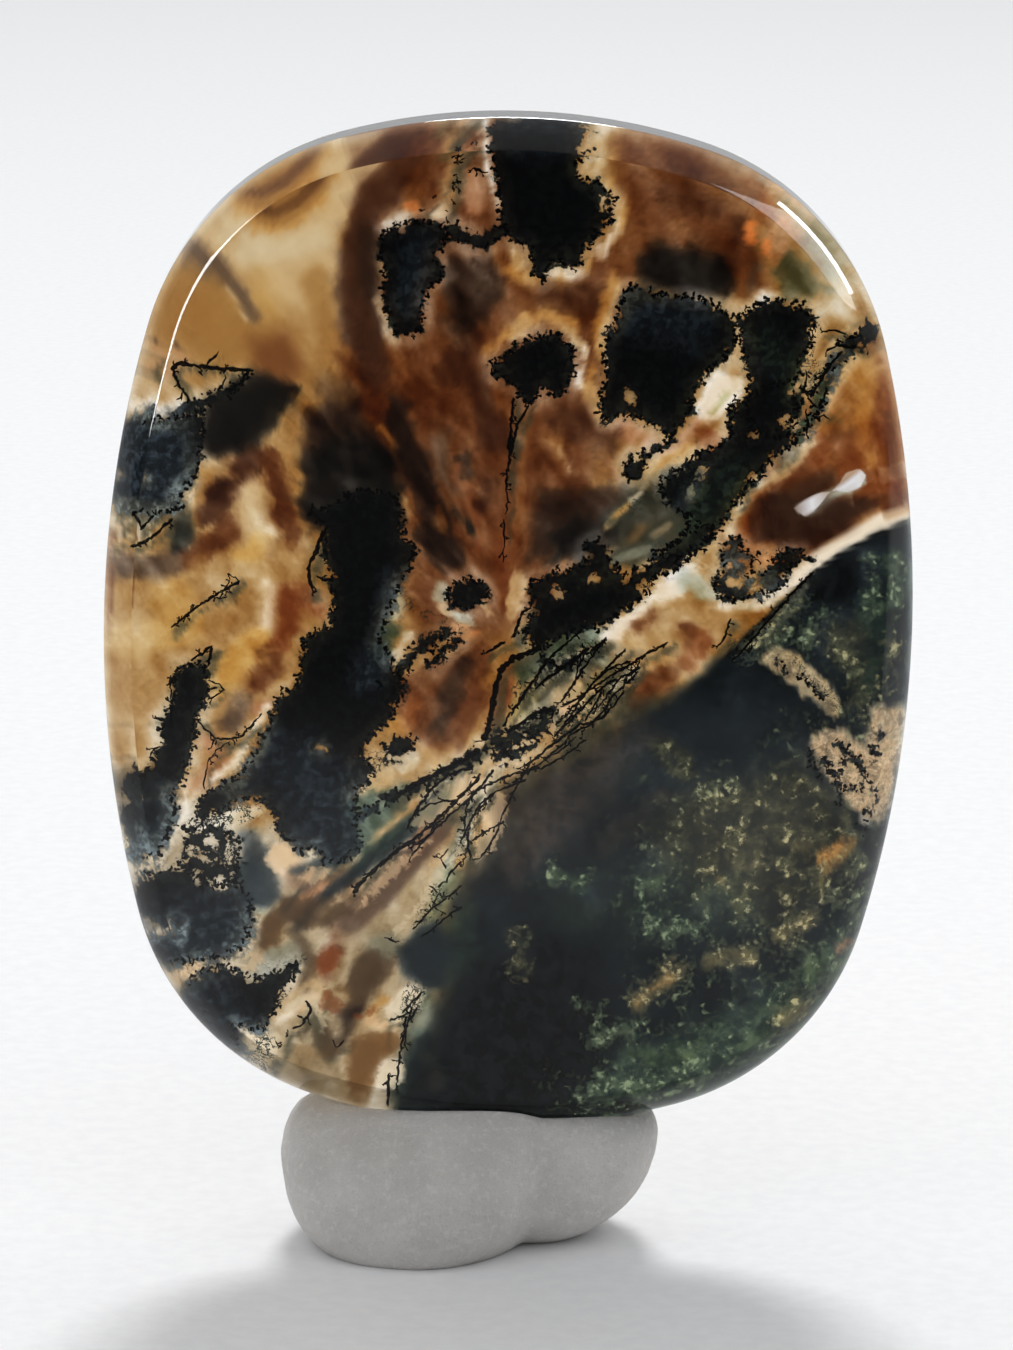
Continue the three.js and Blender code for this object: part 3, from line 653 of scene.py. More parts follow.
# Patches whose edges stay sharp close up: kind, half width (0 fills the outline), path
crisp = [
    ("shade", 0, "440,798 452,792 430,816 404,838 372,864 340,892 306,926 294,930 304,912 336,882 "
        "370,852 404,824"),
    ("shade", 0, "396,946 420,930 442,920 454,950 446,986 426,986 410,970"),
    ("shade", (2, 1), "352,878 330,896 308,910"),
    ("rose", 0, "446,826 456,820 450,838 430,860 404,884 380,908 356,926 342,920 350,904 372,886 "
        "396,862 420,842"),
    ("pale", 0, "268,850 284,842 298,852 292,866 278,872 264,862"),
    ("pale", 0, "300,880 312,866 330,862 326,874 312,884"),
    ("pale", 0, "439,791 452,780 466,775 481,775 478,791 462,802 446,812 426,826 408,827 420,808"),
    ("pale", 0, "476,842 484,818 500,790 507,800 504,828 490,852 474,860"),
    ("pale", 0, "370,888 392,864 420,846 432,840 414,858 390,880 374,898 360,908"),
    ("pale", 0, "240,966 254,952 266,950 262,964 248,974"),
    ("light", 0, "384,1012 398,996 414,984 426,990 422,1008 404,1018 390,1026"),
    ("light", 0, "377,1070 388,1060 402,1062 403,1080 390,1090 378,1084"),
    ("light", 0, "237,1030 262,1028 280,1034 276,1052 258,1062 244,1048"),
    ("light", (4, 2), "286,1008 300,1000 314,1002 322,1014 322,1030"),
    ("light", (3, 4), "398,930 412,914 426,896 438,876"),
    ("earth", 0, "350,966 362,950 378,948 388,960 378,976 366,992 352,1010 344,1016 352,994"),
    ("earth", 0, "284,900 312,896 340,902 352,912 330,924 300,926"),
    ("earth", 0, "262,922 276,912 284,924 280,944 264,950"),
    ("earth", (4, 6), "304,1036 312,1024 318,1040 330,1052"),
    ("rusty", 0, "318,962 330,948 340,952 336,966 326,976 318,974"),
    ("rusty", 0, "324,988 338,998 346,1008 332,1016 320,1006"),
    ("rusty", (2, 3), "356,1018 366,1012 378,1010"),
    ("gold", 0, "356,1046 372,1034 396,1032 402,1044 386,1054 376,1074 366,1094 352,1092 348,1068"),
    ("band", (5.5, 7.5), "912,510 885,519 860,531 836,545 814,560 796,576 780,587 768,596"),
    ("seam", (1.4, 2.8), "908,522 872,536 842,552 816,571 796,591 776,610 752,632 728,656"),
    ("strand", (0.8, 1.6), "818,590 800,609 778,630 758,650 742,664"),
    ("bowTie", 0, "793,509 803,500 816,494 830,491 825,498 815,510 806,517"),
    ("bowTie", 0, "832,491 839,484 846,473 860,468 867,475 861,487 848,492"),
    ("bowTie", 1.2, "852,499 853,500"),
]
# Each kind's softness in mm, how far its edge wanders in mm, strength, dye
crispKinds = {
    "shade": (0.3, 0.9, 0.75, "slate"),
    "rose": (0.3, 0.8, 0.65, "mauve"),
    "pale": (0.12, 0.9, 0.8, "peach"),
    "light": (0.12, 0.9, 0.85, "milk"),
    "earth": (0.2, 0.9, 0.7, "cocoa"),
    "rusty": (0.12, 0.9, 0.75, "rust"),
    "gold": (0.15, 0.8, 0.7, "clay"),
    "band": (0.16, 0.0, 0.9, "white"),
    "seam": (0.06, 0.0, 0.95, "ink"),
    "strand": (0.07, 0.0, 0.9, "ink"),
    "bowTie": (0.035, 0.0, 1.0, "pearl"),
}

# The clouded mass at the lower right has its own outline, a ragged edge and finer stains
cloudMass = (
    "908,516 885,528 861,539 834,556 812,576 798,592 780,606 760,628 740,648 720,658 700,676 661,704 "
    "625,716 592,744 556,776 530,812 504,852 474,880 446,912 428,950 436,994 434,1023 419,1039 409,1064 "
    "401,1094 397,1150 700,1180 960,1000 960,500"
)
cloudStains = [
    ("slate", 0, 30, 1.0, "60,80 960,80 960,1180 60,1180"),
    ("haze", 0, 40, 0.85, "560,760 640,716 668,736 620,790 560,850 520,890 500,870"),
    ("forest", 0, 30, 0.7, "430,920 470,900 480,960 450,1000 430,990"),
    ("ink", 0, 60, 0.9, "450,990 560,950 630,1040 570,1110 450,1130 420,1070"),
    ("dusk", 0, 60, 0.6, "600,780 640,740 700,700 760,720 800,780 700,820"),
    ("bog", 0, 60, 0.85, "690,790 800,760 850,800 850,880 800,930 700,900 650,860 650,820"),
    ("forest", 0, 60, 0.6, "540,880 640,850 740,870 760,920 640,940 560,930"),
    ("forest", 0, 40, 0.85, "590,1070 700,1020 800,970 860,910 850,990 780,1060 690,1120 600,1130"),
    ("ink", 0, 14, 0.95, "812,582 836,556 866,540 884,538 866,560 840,592 810,606"),
    ("dusk", 14, 16, 0.9, "868,556 868,620 858,650"), ("forest", 12, 14, 0.8, "892,560 896,600"),
    ("haze", 9, 12, 0.6, "600,850 660,800"), ("bog", 12, 14, 0.8, "744,640 768,620 796,604"),
    ("sage", 4, 6, 0.6, "780,612 796,600"), ("reed", 4, 6, 0.6, "764,634 776,626"),
    ("dusk", 14, 24, 0.6, "850,620 830,644"), ("ink", 20, 30, 0.6, "520,1120 640,1130 700,1120"),
    ("bog", 14, 20, 0.7, "852,640 866,690"),
    ("cream", 0, 5, 0.95, "757,662 768,652 780,648 794,655 806,664 818,675 830,688 840,698 842,712 "
        "832,718 822,712 812,700 798,690 784,678 768,672"),
    ("fallow", 4, 7, 0.6, "772,664 800,684 826,704"),
    ("peach", 0, 8, 0.92, "866,722 880,706 900,700 914,716 910,760 896,770 880,768 868,752 862,738"),
    ("fallow", 5, 8, 0.7, "896,704 888,736"), ("clay", 3, 6, 0.6, "868,752 892,746 908,740"),
    ("peach", 0, 8, 0.9, "806,748 822,732 842,730 862,748 880,764 896,776 893,806 882,822 864,820 "
        "850,806 836,790 818,772"),
    ("white", 5, 4, 0.95, "867,822 879,817"), ("orange", 3, 5, 0.4, "826,852 844,842"),
    ("amber", 0, 7, 0.95, "818,858 828,844 846,838 858,836 848,852 834,868 820,874"),
    ("reed", 5, 8, 0.8, "826,880 824,896"), ("reed", 5, 8, 0.6, "846,824 852,836"),
    ("amber", (5, 4), 6, 0.9, "638,1004 652,992 672,978"),
    ("reed", 8, 12, 0.75, "708,962 728,952 748,954"), ("reed", 6, 10, 0.75, "776,936 796,926 816,918"),
    ("reed", 8, 10, 0.85, "786,1020 802,1008"), ("sage", 6, 8, 0.85, "814,966 820,978"),
    ("salmon", 4, 5, 0.9, "839,953 846,947"), ("sage", 5, 8, 0.6, "688,1044 696,1040"),
    ("bog", 10, 16, 0.7, "716,866 740,840"), ("reed", 4, 8, 0.6, "706,868 712,862"),
    ("sage", 5, 9, 0.55, "640,884 652,884"), ("leaf", 7, 10, 0.6, "556,874 570,880"),
    ("bog", 8, 12, 0.7, "426,1060 440,1080"), ("bog", 8, 14, 0.7, "522,936 530,968"),
    ("bog", 10, 16, 0.7, "652,748 684,766"), ("sage", 4, 8, 0.4, "656,752 664,756"),
    ("forest", 10, 26, 0.7, "870,600 880,640 870,690"), ("reed", 6, 10, 0.6, "736,872 760,860"),
    ("reed", 5, 9, 0.6, "792,846 812,850"), ("amber", 3, 6, 0.6, "716,878 722,884"),
    ("reed", 6, 10, 0.55, "748,892 738,906"), ("leaf", 8, 12, 0.6, "640,1060 670,1056 700,1040"),
    ("leaf", 8, 12, 0.6, "740,1046 770,1036"), ("fern", 4, 8, 0.6, "690,1046 700,1056"),
    ("leaf", 7, 12, 0.6, "820,980 826,960"), ("dusk", 16, 26, 0.6, "600,900 640,860"),
]

# Black moss: breadth of the ragged edge in mm, half width (0 fills the outline), path
masses = [
    (0.13, 0, "484,131 490,151 494,171 498,192 500,214 505,231 511,243 527,247 531,255 535,275 543,282 "
        "547,269 554,263 564,263 572,271 580,267 584,251 598,239 600,231 613,220 611,214 615,200 606,192 "
        "596,178 584,182 576,170 580,159 596,151 598,135 592,108 486,108"),
    (0.13, 0, "380,235 400,222 421,220 447,226 451,239 437,255 445,275 429,288 423,304 424,331 411,337 "
        "396,335 386,312 382,294 386,273 378,255"),
    (0.12, 7, "449,231 472,239 482,243 502,231"),
    (0.13, 0, "490,363 511,351 527,339 543,335 560,333 566,343 576,353 574,373 566,392 553,398 543,388 "
        "535,404 525,404 513,386 494,375"),
    (0.16, 0, "632,285 650,292 680,296 708,301 728,312 738,340 722,363 708,371 698,389 690,403 692,414 "
        "681,426 672,440 664,434 651,424 634,418 620,416 606,423 598,404 605,380 603,345 618,312 625,292"),
    (0.10, 0, "631,455 642,454 647,468 640,482 628,480 622,466"),
    (0.10, (4, 3), "672,440 660,446 650,454 640,458"),
    (0.18, 0, "738,318 763,301 783,301 804,307 818,322 808,344 802,366 796,390 793,432 775,440 760,436 "
        "748,424 745,404 750,380 742,350"),
    (0.14, 0, "858,330 866,320 882,316 892,340 874,344 862,350"),
    (0.20, (8, 5), "866,338 848,348 834,365 826,382 814,400 800,420 784,444"),
    (0.24, 0, "826,400 804,435 783,453 767,463 751,484 734,506 718,533 700,549 676,560 655,553 676,543 "
        "690,520 668,505 661,482 687,463 702,451 730,439 730,406 753,395 790,380"),
    (0.20, 0, "531,584 552,572 574,568 590,556 584,545 596,540 606,549 615,568 626,580 635,570 645,568 "
        "655,553 676,543 700,523 715,530 700,549 676,570 655,576 643,600 621,611 604,627 584,631 564,635 "
        "539,649 527,647 523,631 531,615 531,594"),
    (0.20, 0, "716,600 714,580 722,566 720,552 734,536 742,543 748,556 760,552 752,566 748,574 764,572 "
        "776,556 790,550 804,552 812,562 800,560 788,572 786,584 773,594 755,598 735,602"),
    (0.10, 0, "712,150 744,163 744,176 732,182 726,174 712,174"),
    (0.10, 0, "757,173 770,174 776,184 774,192 762,186"),
    (0.14, 0, "447,594 455,582 470,578 486,584 490,596 482,604 466,610 450,608"),
    (0.14, (4, 8), "446,630 424,642 402,666 380,700"),
    (0.14, 5, "460,638 447,647 431,666"),
    (0.12, 0, "383,749 392,738 404,738 418,740 412,750 402,754 390,756"),
    (0.10, 3, "386,762 396,762"),
    (0.30, (4, 6), "482,748 500,740 516,733 528,728"),
    (0.30, (7, 3), "500,748 518,740 536,732 546,724"),
    (0.16, (3.5, 2), "528,726 540,715 550,711 558,711"),
    (0.30, (4, 3), "494,756 514,752 530,746 538,740"),
    (0.24, (2.5, 1.5), "512,756 506,766"),
    (0.16, (2.5, 4), "536,650 548,664 560,668 574,662"),
    (0.20, (3, 5), "360,818 384,800 410,790 440,776 476,756"),
    (0.12, 0, "104,421 131,419 149,421 182,417 206,411 202,441 200,470 192,482 182,494 182,511 161,515 "
        "137,513 122,517 104,515"),
    (0.10, (6, 3), "173,418 196,404 222,394 240,380 249,373"),
    (0.18, 0, "310,512 330,505 360,490 398,494 404,535 416,549 412,564 402,582 396,598 390,612 380,640 "
        "392,660 406,690 390,719 371,738 359,754 373,768 371,780 355,791 355,811 359,833 361,850 345,864 "
        "324,862 314,848 300,852 290,844 277,833 272,812 263,800 241,800 214,815 196,823 198,803 210,791 "
        "222,784 241,774 251,758 259,742 273,713 277,697 296,686 300,666 304,639 329,625 333,604 329,574 "
        "322,548 326,528"),
    (0.16, 0, "173,678 178,668 190,662 206,668 210,690 206,701 196,725 194,746 190,762 182,780 175,793 "
        "177,813 171,833 157,856 137,864 108,850 108,800 120,793 137,780 141,770 153,762 163,742 159,727 "
        "169,709 175,691"),
    (0.30, 0, "188,829 215,829 240,840 235,880 214,888 196,880 180,862"),
    (0.20, 0, "112,880 150,874 180,868 215,880 240,885 253,900 251,909 253,923 247,942 231,956 214,960 "
        "182,962 150,960 130,930"),
    (0.18, 0, "194,976 206,968 219,964 236,970 252,978 270,974 288,966 300,962 294,976 282,994 276,1010 "
        "268,1026 258,1032 248,1030 234,1026 238,1040 246,1052 256,1068 266,1088 262,1100 236,1092 "
        "206,1066 180,1034 164,1004 170,990 186,988"),
]
masses += [
    (0.16, (2, 2.6), "836,742 846,750 844,764 832,772 838,784"),
    (0.16, (2.4, 1.6), "852,758 862,768 868,782 858,792 848,786"),
    (0.16, (1.6, 2.2), "872,790 878,802 870,814 860,812"),
    (0.16, (2, 1.6), "824,760 830,776 842,792 838,806"),
    (0.14, (1.6, 1.2), "880,734 872,746 876,758"), (0.16, 3.4, "806,752 814,766 822,780"),
    (0.14, (2, 1.2), "858,824 868,832 866,846"),
    (0.14, 2, "800,676 812,690 826,700"), (0.14, 1.6, "778,660 788,672"),
]
# Windows of clear stone in the moss: half width, path
windows = [
    (3.5, "593,578 596,580"), (4, "728,565"), (4, "744,576 750,574"), (3.5, "628,396 630,399"),
    (5, "815,334 814,344"), (5, "828,342 834,338"), (4, "832,352 838,350"), (3, "818,360 812,372"),
    (6, "812,392 808,410"), (4, "806,378 796,388"), (4, "786,422 796,424"), (2.5, "137,477 144,479"),
    (2.5, "511,136 515,140"), (2, "601,198 603,208"), (3, "689,566 693,564"), (2.5, "692,490 690,498"),
    (2, "131,802 135,796"), (2, "140,798"), (2.5, "139,840 142,838"), (2, "146,876 150,878"),
    (2.5, "132,826 128,824"), (4, "231,850 226,858"), (3, "208,842 214,846"), (3, "188,848 192,852"),
    (3, "194,872 198,880"), (3, "214,884 222,882"), (1.5, "182,921 184,930"),
    (3, "738,560 746,562"), (2.5, "730,580 738,584"), (2, "716,596"), (2.5, "752,588 758,584"),
    (2, "760,600 766,592"),
    (2.5, "742,546 744,550"), (2, "700,476 704,468"), (3, "640,452 636,458"), (2, "556,590 560,596"),
    (2, "640,590 646,584"),
    (3, "218,880 224,886"), (4, "158,918 171,930"), (2, "204,858 210,862"), (2, "120,800 126,812"),
    (2, "118,840 126,846"),
    (2, "319,556 322,566"), (2, "404,224 402,230"), (3, "322,748"), (2, "756,436"),
]
# Lighter moss, blue-grey as a painted reflection on the face and green as the moss's own thinner tint:
# half width, softness, strength, path
sheenAndTints = [
    (16, 40, 0.7, "510,126 540,132 590,128"), (22, 40, 0.4, "640,310 690,320"),
    (14, 30, 0.4, "770,340 790,380"),
    (34, 40, 1.0, "150,440 160,490 150,510"), (30, 50, 0.7, "300,770 330,800 320,840"),
    (14, 30, 0.8, "120,830 150,860 165,800"),
    (14, 30, 0.6, "400,590 390,640 370,680"), (30, 40, 0.8, "190,930 150,940 230,930"),
    (14, 30, 0.4, "420,250 410,300"),
    (24, 40, 0.8, "210,1010 240,1040 200,1000"), (16, 30, 0.6, "270,740 240,790"),
    (16, 30, 0.5, "640,540 690,520 730,480"),
    (14, 24, 0.5, "760,580 730,560"), (12, 24, 0.5, "840,360 800,430"),
]

# Green and straw growth in the clouded mass, as the sheens
lushness = [
    (26, 30, 1.0, "775,320 800,380 770,440 720,500 690,545"),  # tints the moss there
    (0, 120, 0.34, "640,790 760,740 930,540 960,1180 560,1180 540,1080 640,1000 600,900"),
    (26, 60, 0.72, "600,1100 690,1068 770,1030 840,970"), (14, 40, 0.75, "632,888 660,884"),
    (12, 36, 0.7, "556,878 580,880"),
    (10, 30, 0.8, "742,894"), (12, 30, 0.9, "846,648 858,664"), (8, 20, 1.0, "892,560 896,600"),
    (8, 24, 0.9, "888,640 890,656"),
    (8, 24, 0.9, "862,702 864,710"), (14, 30, 0.9, "738,824 730,850"), (8, 26, 0.9, "708,866"),
    (10, 26, 0.75, "656,750 680,766"),
    (12, 30, 0.9, "784,836"), (12, 30, 0.9, "640,1000 676,972"), (12, 30, 0.85, "712,956 744,952"),
    (12, 26, 0.95, "786,934 812,920"),
    (10, 26, 1.0, "816,968 818,978"), (12, 26, 0.9, "794,1014"), (10, 26, 0.85, "692,1043"),
    (8, 24, 0.8, "648,1079"),
    (8, 24, 0.8, "610,1090"), (10, 24, 0.85, "700,1080"), (10, 24, 0.8, "736,1068"),
    (10, 24, 0.8, "760,1052"),
    (10, 30, 0.8, "870,560 872,610"), (12, 30, 0.8, "826,620 812,640"), (14, 30, 0.8, "700,800 730,790"),
    (12, 30, 0.8, "760,930 740,900"), (14, 36, 0.75, "660,930 690,920"),
    (12, 30, 0.8, "600,1040 640,1030"),
    (12, 30, 0.8, "850,930 860,900"), (14, 34, 0.7, "770,860 800,880"), (10, 26, 0.75, "524,966 522,936"),
    (8, 22, 0.65, "575,1002 613,1010"), (30, 50, 0.6, "850,880 830,900"),
    (18, 26, 0.9, "780,640 750,640 780,606"),
]
# Where that growth is straw yellow, as the sheens
straws = [
    (0, 60, 0.75, "690,790 800,750 880,760 860,880 800,940 700,900 660,850"),
    (26, 40, 0.7, "846,648 890,650 862,704"),
    (14, 16, 1.0, "640,1002 676,970"), (14, 20, 0.9, "712,956 748,952"), (14, 18, 0.9, "776,936 816,918"),
    (26, 30, 1.0, "826,750 850,770 880,800"),
    (16, 24, 0.9, "790,606 750,640"), (16, 24, 0.8, "520,930 526,980"), (20, 30, 0.6, "660,750 700,770"),
    (16, 24, 0.9, "786,1020 802,1008"),
]
# Where the stains lie even, with no streaks, as the sheens
calms = [(0, 60, 1.0, "186,250 236,186 300,150 400,126 400,180 344,240 340,330 300,380 240,400 170,380")]
# Black lace over the paler stone, as the sheens
laces = [
    (24, 30, 0.5, "800,360 780,420 740,470"), (22, 20, 0.55, "826,750 850,770 880,800"),
    (10, 12, 0.7, "800,664 836,706"),
    (12, 16, 1.0, "196,826 226,816 252,810"), (14, 16, 0.9, "262,1044 270,1078"),
    (16, 20, 0.8, "196,868 230,856"), (14, 20, 0.7, "150,800 140,850"),
    (10, 20, 0.6, "270,964 296,960"), (16, 18, 1.0, "528,686 560,664 600,650"),
    (12, 14, 0.8, "440,890 420,930"), (14, 16, 0.7, "810,340 812,400"),
    (14, 16, 1.1, "744,652 770,628 800,604"), (12, 16, 0.7, "620,516 650,500 690,478"),
    (10, 14, 0.6, "440,640 470,620"), (12, 14, 0.9, "416,990 406,1020"),
    (12, 14, 0.9, "560,730 600,706 636,676"), (14, 16, 0.7, "462,850 470,810"),
    (12, 14, 0.7, "870,730 850,712"), (10, 14, 0.8, "400,600 440,620"),
    (12, 14, 0.8, "380,760 350,800"), (18, 24, 0.6, "850,640 870,690"),
]
softPatches = {"sheenAndTint": sheenAndTints, "lush": lushness, "straw": straws, "lace": laces, "calm": calms}

print("layout read")


# Twigs of moss just under the polished face
twigs = {
    "depth": 0.3,  # mm under the face
    "wobble": 0.05,
    "within": 1.02,  # of the face's own outline
    "doubles": 0.55,  # strength of the blurred doubles deeper in the stone
    "doublesShift": (5, 4),  # view pixels
    # where the stone beside the moss isn't paler
    "plainAround": "290,490 400,470 450,560 440,700 400,880 300,880 260,800 250,720 300,640",
    "colours": ((0.0012, 0.0014, 0.0016, 1), (0.006, 0.008, 0.005, 1)),
    "seed": 7,
    "step": 2.5,  # view pixels between the points of a stem
    "thickness": 0.9,  # of the half widths below, which are in view pixels
    "sides": 5,
    "thornEvery": 9.0,  # view pixels along a stem
    "thornLength": (3.0, 9.0),
    "fringeEvery": 3.2,  # view pixels along the edge of a mass
    "fringeLength": (2.0, 8.0),
    "fringeWidth": (0.8, 2.1),
    # clean dark lines, half width at each end, path
    "lines": [
        ((1.0, 2.2), "903,525 888,531 872,538 857,546 842,554 829,563 816,573 804,584 792,596"),
    ],
}
# Stems: half width at each end, path
stemPaths = [
    ((1.5, 1.3), "606,638 596,652 584,668 576,682 566,696 560,704"),
    ((1.7, 1.5), "578,634 562,648 548,660 538,674 528,690 520,702"),
    ((1.5, 1.3), "626,650 608,668 592,686 580,702 570,718 556,736"),
    ((1.5, 1.3), "638,672 624,686 612,698 602,714 590,726 574,734 560,748"),
    ((1.3, 1.2), "588,690 578,702 568,714 556,726"),
    ((1.6, 1.6), "542,670 530,686 522,698 512,712 502,728"),
    ((1.5, 1.1), "530,764 516,788 506,808 498,830 488,848 480,860"),
    ((1.3, 1.1), "474,790 466,808 464,826 468,846 462,868"),
    ((1.3, 1.0), "566,742 548,758 530,772 512,784"), ((1.3, 1.1), "448,812 436,826 424,842 410,858"),
    ((1.5, 1.3), "406,1018 402,1042 398,1066 396,1090"), ((1.1, 0.9), "412,1008 406,1030 404,1048"),
    ((2.2, 1.2), "478,137 462,147 455,167 449,182 441,190 432,202 423,212"),
    ((1.6, 1.4), "480,140 468,148 460,160 457,172 455,190 451,202 445,222"),
    ((2.4, 1.2), "473,168 480,172 488,173"), ((1.8, 2.2), "513,398 512,416 511,432 509,450"),
    ((1.4, 2.0), "529,406 518,424 514,440 510,455"),
    ((2.4, 0.8), "511,440 509,461 506,478 506,486 508,502 506,515"),
    ((1.2, 0.6), "504,520 504,540 503,563"),
    ((1.4, 1.6), "171,629 186,616 206,602 218,594 232,586 239,582"),
    ((1.2, 0.8), "214,598 222,600 228,596"), ((1.2, 0.8), "224,592 228,586 230,580"),
    ((1.0, 1.4), "239,583 236,578 233,578"), ((2.4, 2.2), "171,371 180,364 204,368 228,370 251,371"),
    ((1.6, 1.2), "206,366 212,360 219,352"), ((1.4, 1.2), "198,372 202,376"),
    ((2.0, 1.4), "173,371 176,380 180,388 190,402"), ((1.2, 0.9), "182,392 181,402"),
    ((1.8, 2.4), "249,371 240,384 228,392"), ((1.2, 1.2), "226,376 222,388"),
    ((1.8, 1.6), "141,531 146,524 155,516"), ((1.6, 2.0), "132,548 146,542 158,534 166,525 173,520"),
    ((1.8, 1.2), "136,514 140,526 142,530"),
    ((1.2, 1.2), "196,720 204,728 214,739 228,740 241,738 250,728 257,720"),
    ((1.0, 0.8), "214,740 211,750"), ((0.9, 0.9), "229,742 216,752 208,762 205,776 204,791"),
    ((1.2, 1.2), "171,676 170,688 171,700"), ((1.2, 1.0), "210,682 218,684 224,691 216,696 207,701"),
    ((1.8, 2.0), "190,662 200,656 212,647"), ((2.4, 1.4), "212,648 210,658 208,668"),
    ((1.6, 1.4), "173,698 170,712 172,724"), ((2.4, 1.2), "165,722 158,719 153,719"),
    ((1.6, 1.2), "160,748 152,750 150,758"), ((2.6, 2.4), "326,528 319,542 316,553 309,566"),
    ((2.6, 1.4), "309,566 309,580 313,588 312,596"), ((1.6, 1.4), "316,576 324,582 332,580"),
    ((1.6, 1.8), "531,608 523,612 519,621 513,639"), ((1.6, 1.4), "506,642 494,648 486,655"),
    ((3.4, 3.6), "541,646 526,654 513,660 505,666 500,672 496,686 493,701 491,712 490,721 487,732 "
        "482,742"),
    ((2.6, 1.8), "590,648 570,664 548,678 536,690"),
    ((1.8, 1.2), "606,641 594,650 584,657 578,668 576,680 568,692"),
    ((1.6, 1.4), "669,643 656,651 645,655 630,666 615,674 600,684 584,694 572,702 560,708"),
    ((1.5, 1.4), "641,668 622,678 604,686 592,698 580,711 566,726 553,738"),
    ((1.5, 1.6), "624,692 614,706 602,719 590,724 580,725 566,735 553,745 538,758 523,768"),
    ((1.2, 1.2), "603,690 594,708 584,722"), ((1.2, 1.2), "618,680 606,700 592,712"),
    ((1.4, 1.4), "632,662 612,668 596,680"), ((1.2, 1.0), "640,660 636,672 622,682"),
    ((3.0, 2.2), "555,711 545,710 535,715 522,724 506,734"), ((1.6, 1.0), "554,712 552,718 548,720"),
    ((1.4, 1.2), "586,740 570,752 553,764 540,770"), ((1.2, 1.0), "576,738 560,752 546,760"),
    ((3.4, 3.0), "480,750 468,758 457,764 438,774 421,782 404,792 390,803"),
    ((1.6, 1.8), "473,770 460,771 447,776 434,787 425,799 414,814 406,831"),
    ((2.0, 2.6), "482,774 470,788 457,801 438,819 421,835 408,844 396,852 380,866 366,878 352,894"),
    ((1.6, 1.4), "494,770 482,786 468,800 450,816 430,836 408,850"),
    ((1.3, 1.2), "457,801 444,802 429,806 418,812"),
    ((1.8, 1.2), "540,768 524,772 506,778 491,784 478,791 470,798 462,807"),
    ((1.4, 1.2), "526,780 508,788 494,793 482,804 474,815 469,826 468,838 469,850 470,862"),
    ((1.2, 1.0), "504,822 490,830 472,842"), ((1.3, 1.2), "494,794 478,812 466,830 460,846"),
    ((1.5, 1.3), "462,862 452,872 446,882 437,888"),
    ((1.3, 1.2), "462,886 448,898 435,907 424,918 414,930"),
    ((1.2, 1.0), "462,908 448,916 441,923 430,932 420,938"),
    ((1.2, 1.0), "430,886 438,896 432,906 440,912"), ((1.2, 1.0), "446,870 440,860 448,850"),
    ((1.2, 1.2), "384,938 396,943"), ((1.8, 1.2), "814,572 796,590 778,610 756,636 740,654 732,662"),
    ((1.6, 1.2), "730,620 724,640 716,650"), ((1.4, 1.2), "408,1014 398,1019 388,1022"),
    ((1.4, 1.6), "424,992 412,1004 402,1014"), ((1.4, 1.2), "418,1008 408,1022 404,1040"),
    ((1.8, 1.6), "388,1074 388,1084 389,1104"),
    ((2.0, 1.4), "305,1002 311,1011 307,1019 301,1027 292,1030"),
    ((1.6, 1.8), "292,1029 287,1031 283,1043 279,1052 270,1062 264,1078"),
    ((1.2, 1.0), "297,1016 305,1020"), ((1.4, 1.0), "344,1040 338,1048"),
    ((2.0, 1.6), "856,348 838,346 826,352"), ((1.8, 1.4), "844,334 832,331 820,333"),
    ((1.6, 1.6), "842,352 830,366 822,380 810,398"), ((1.2, 1.2), "808,372 804,390 812,404"),
    ((1.6, 1.2), "806,410 808,426 806,436"), ((1.4, 1.0), "812,420 824,416 830,420"),
    ((1.4, 1.0), "752,478 744,490 740,506"),
]


# The stone's outline is the same eight arcs as the solid's
def outlineArcs():
    side, end, corner = stone["sideRadius"], stone["endRadius"], stone["cornerRadius"]
    sideCentre = np.array([stone["width"] / 2 - side, 0.0])
    endCentre = np.array([0.0, stone["height"] / 2 - end])
    apart = np.hypot(*(endCentre - sideCentre))
    alongLine = ((side - corner) ** 2 - (end - corner) ** 2 + apart**2) / (2 * apart)
    across = math.sqrt((side - corner) ** 2 - alongLine**2)
    direction = (endCentre - sideCentre) / apart
    cornerCentre = sideCentre + direction * alongLine + np.array([-direction[1], direction[0]]) * across
    sideTurn = math.atan2(*(cornerCentre - sideCentre)[::-1])
    endTurn = math.atan2(*(cornerCentre - endCentre)[::-1])
    half = math.pi
    return [
        (sideCentre, side, -sideTurn, sideTurn),
        (cornerCentre, corner, sideTurn, endTurn),
        (endCentre, end, endTurn, half - endTurn),
        (cornerCentre * (-1, 1), corner, half - endTurn, half - sideTurn),
        (sideCentre * (-1, 1), side, half - sideTurn, half + sideTurn),
        (cornerCentre * (-1, -1), corner, half + sideTurn, half + endTurn),
        (endCentre * (1, -1), end, half + endTurn, 2 * half - endTurn),
        (cornerCentre * (1, -1), corner, 2 * half - endTurn, 2 * half - sideTurn),
    ]


def outlinePoints(count):
    # Even steps along the outline: the arc centres, radii and directions of each point
    arcs = outlineArcs()
    lengths = np.array([radius * (to - start) for centre, radius, start, to in arcs])
    stops = np.concatenate([[0], np.cumsum(lengths)])
    centres, radii, turns = [], [], []
    for at in np.arange(count) / count * stops[-1]:
        index = min(int(np.searchsorted(stops, at, side="right")) - 1, len(arcs) - 1)
        centre, radius, start, to = arcs[index]
        centres.append(centre)
        radii.append(radius)
        turns.append(start + (to - start) * (at - stops[index]) / lengths[index])
    turns = np.array(turns)
    return np.array(centres), np.array(radii), np.stack([np.cos(turns), np.sin(turns)], axis=1)


edgeCentres, edgeRadii, edgeTurns = outlinePoints(stone["around"])


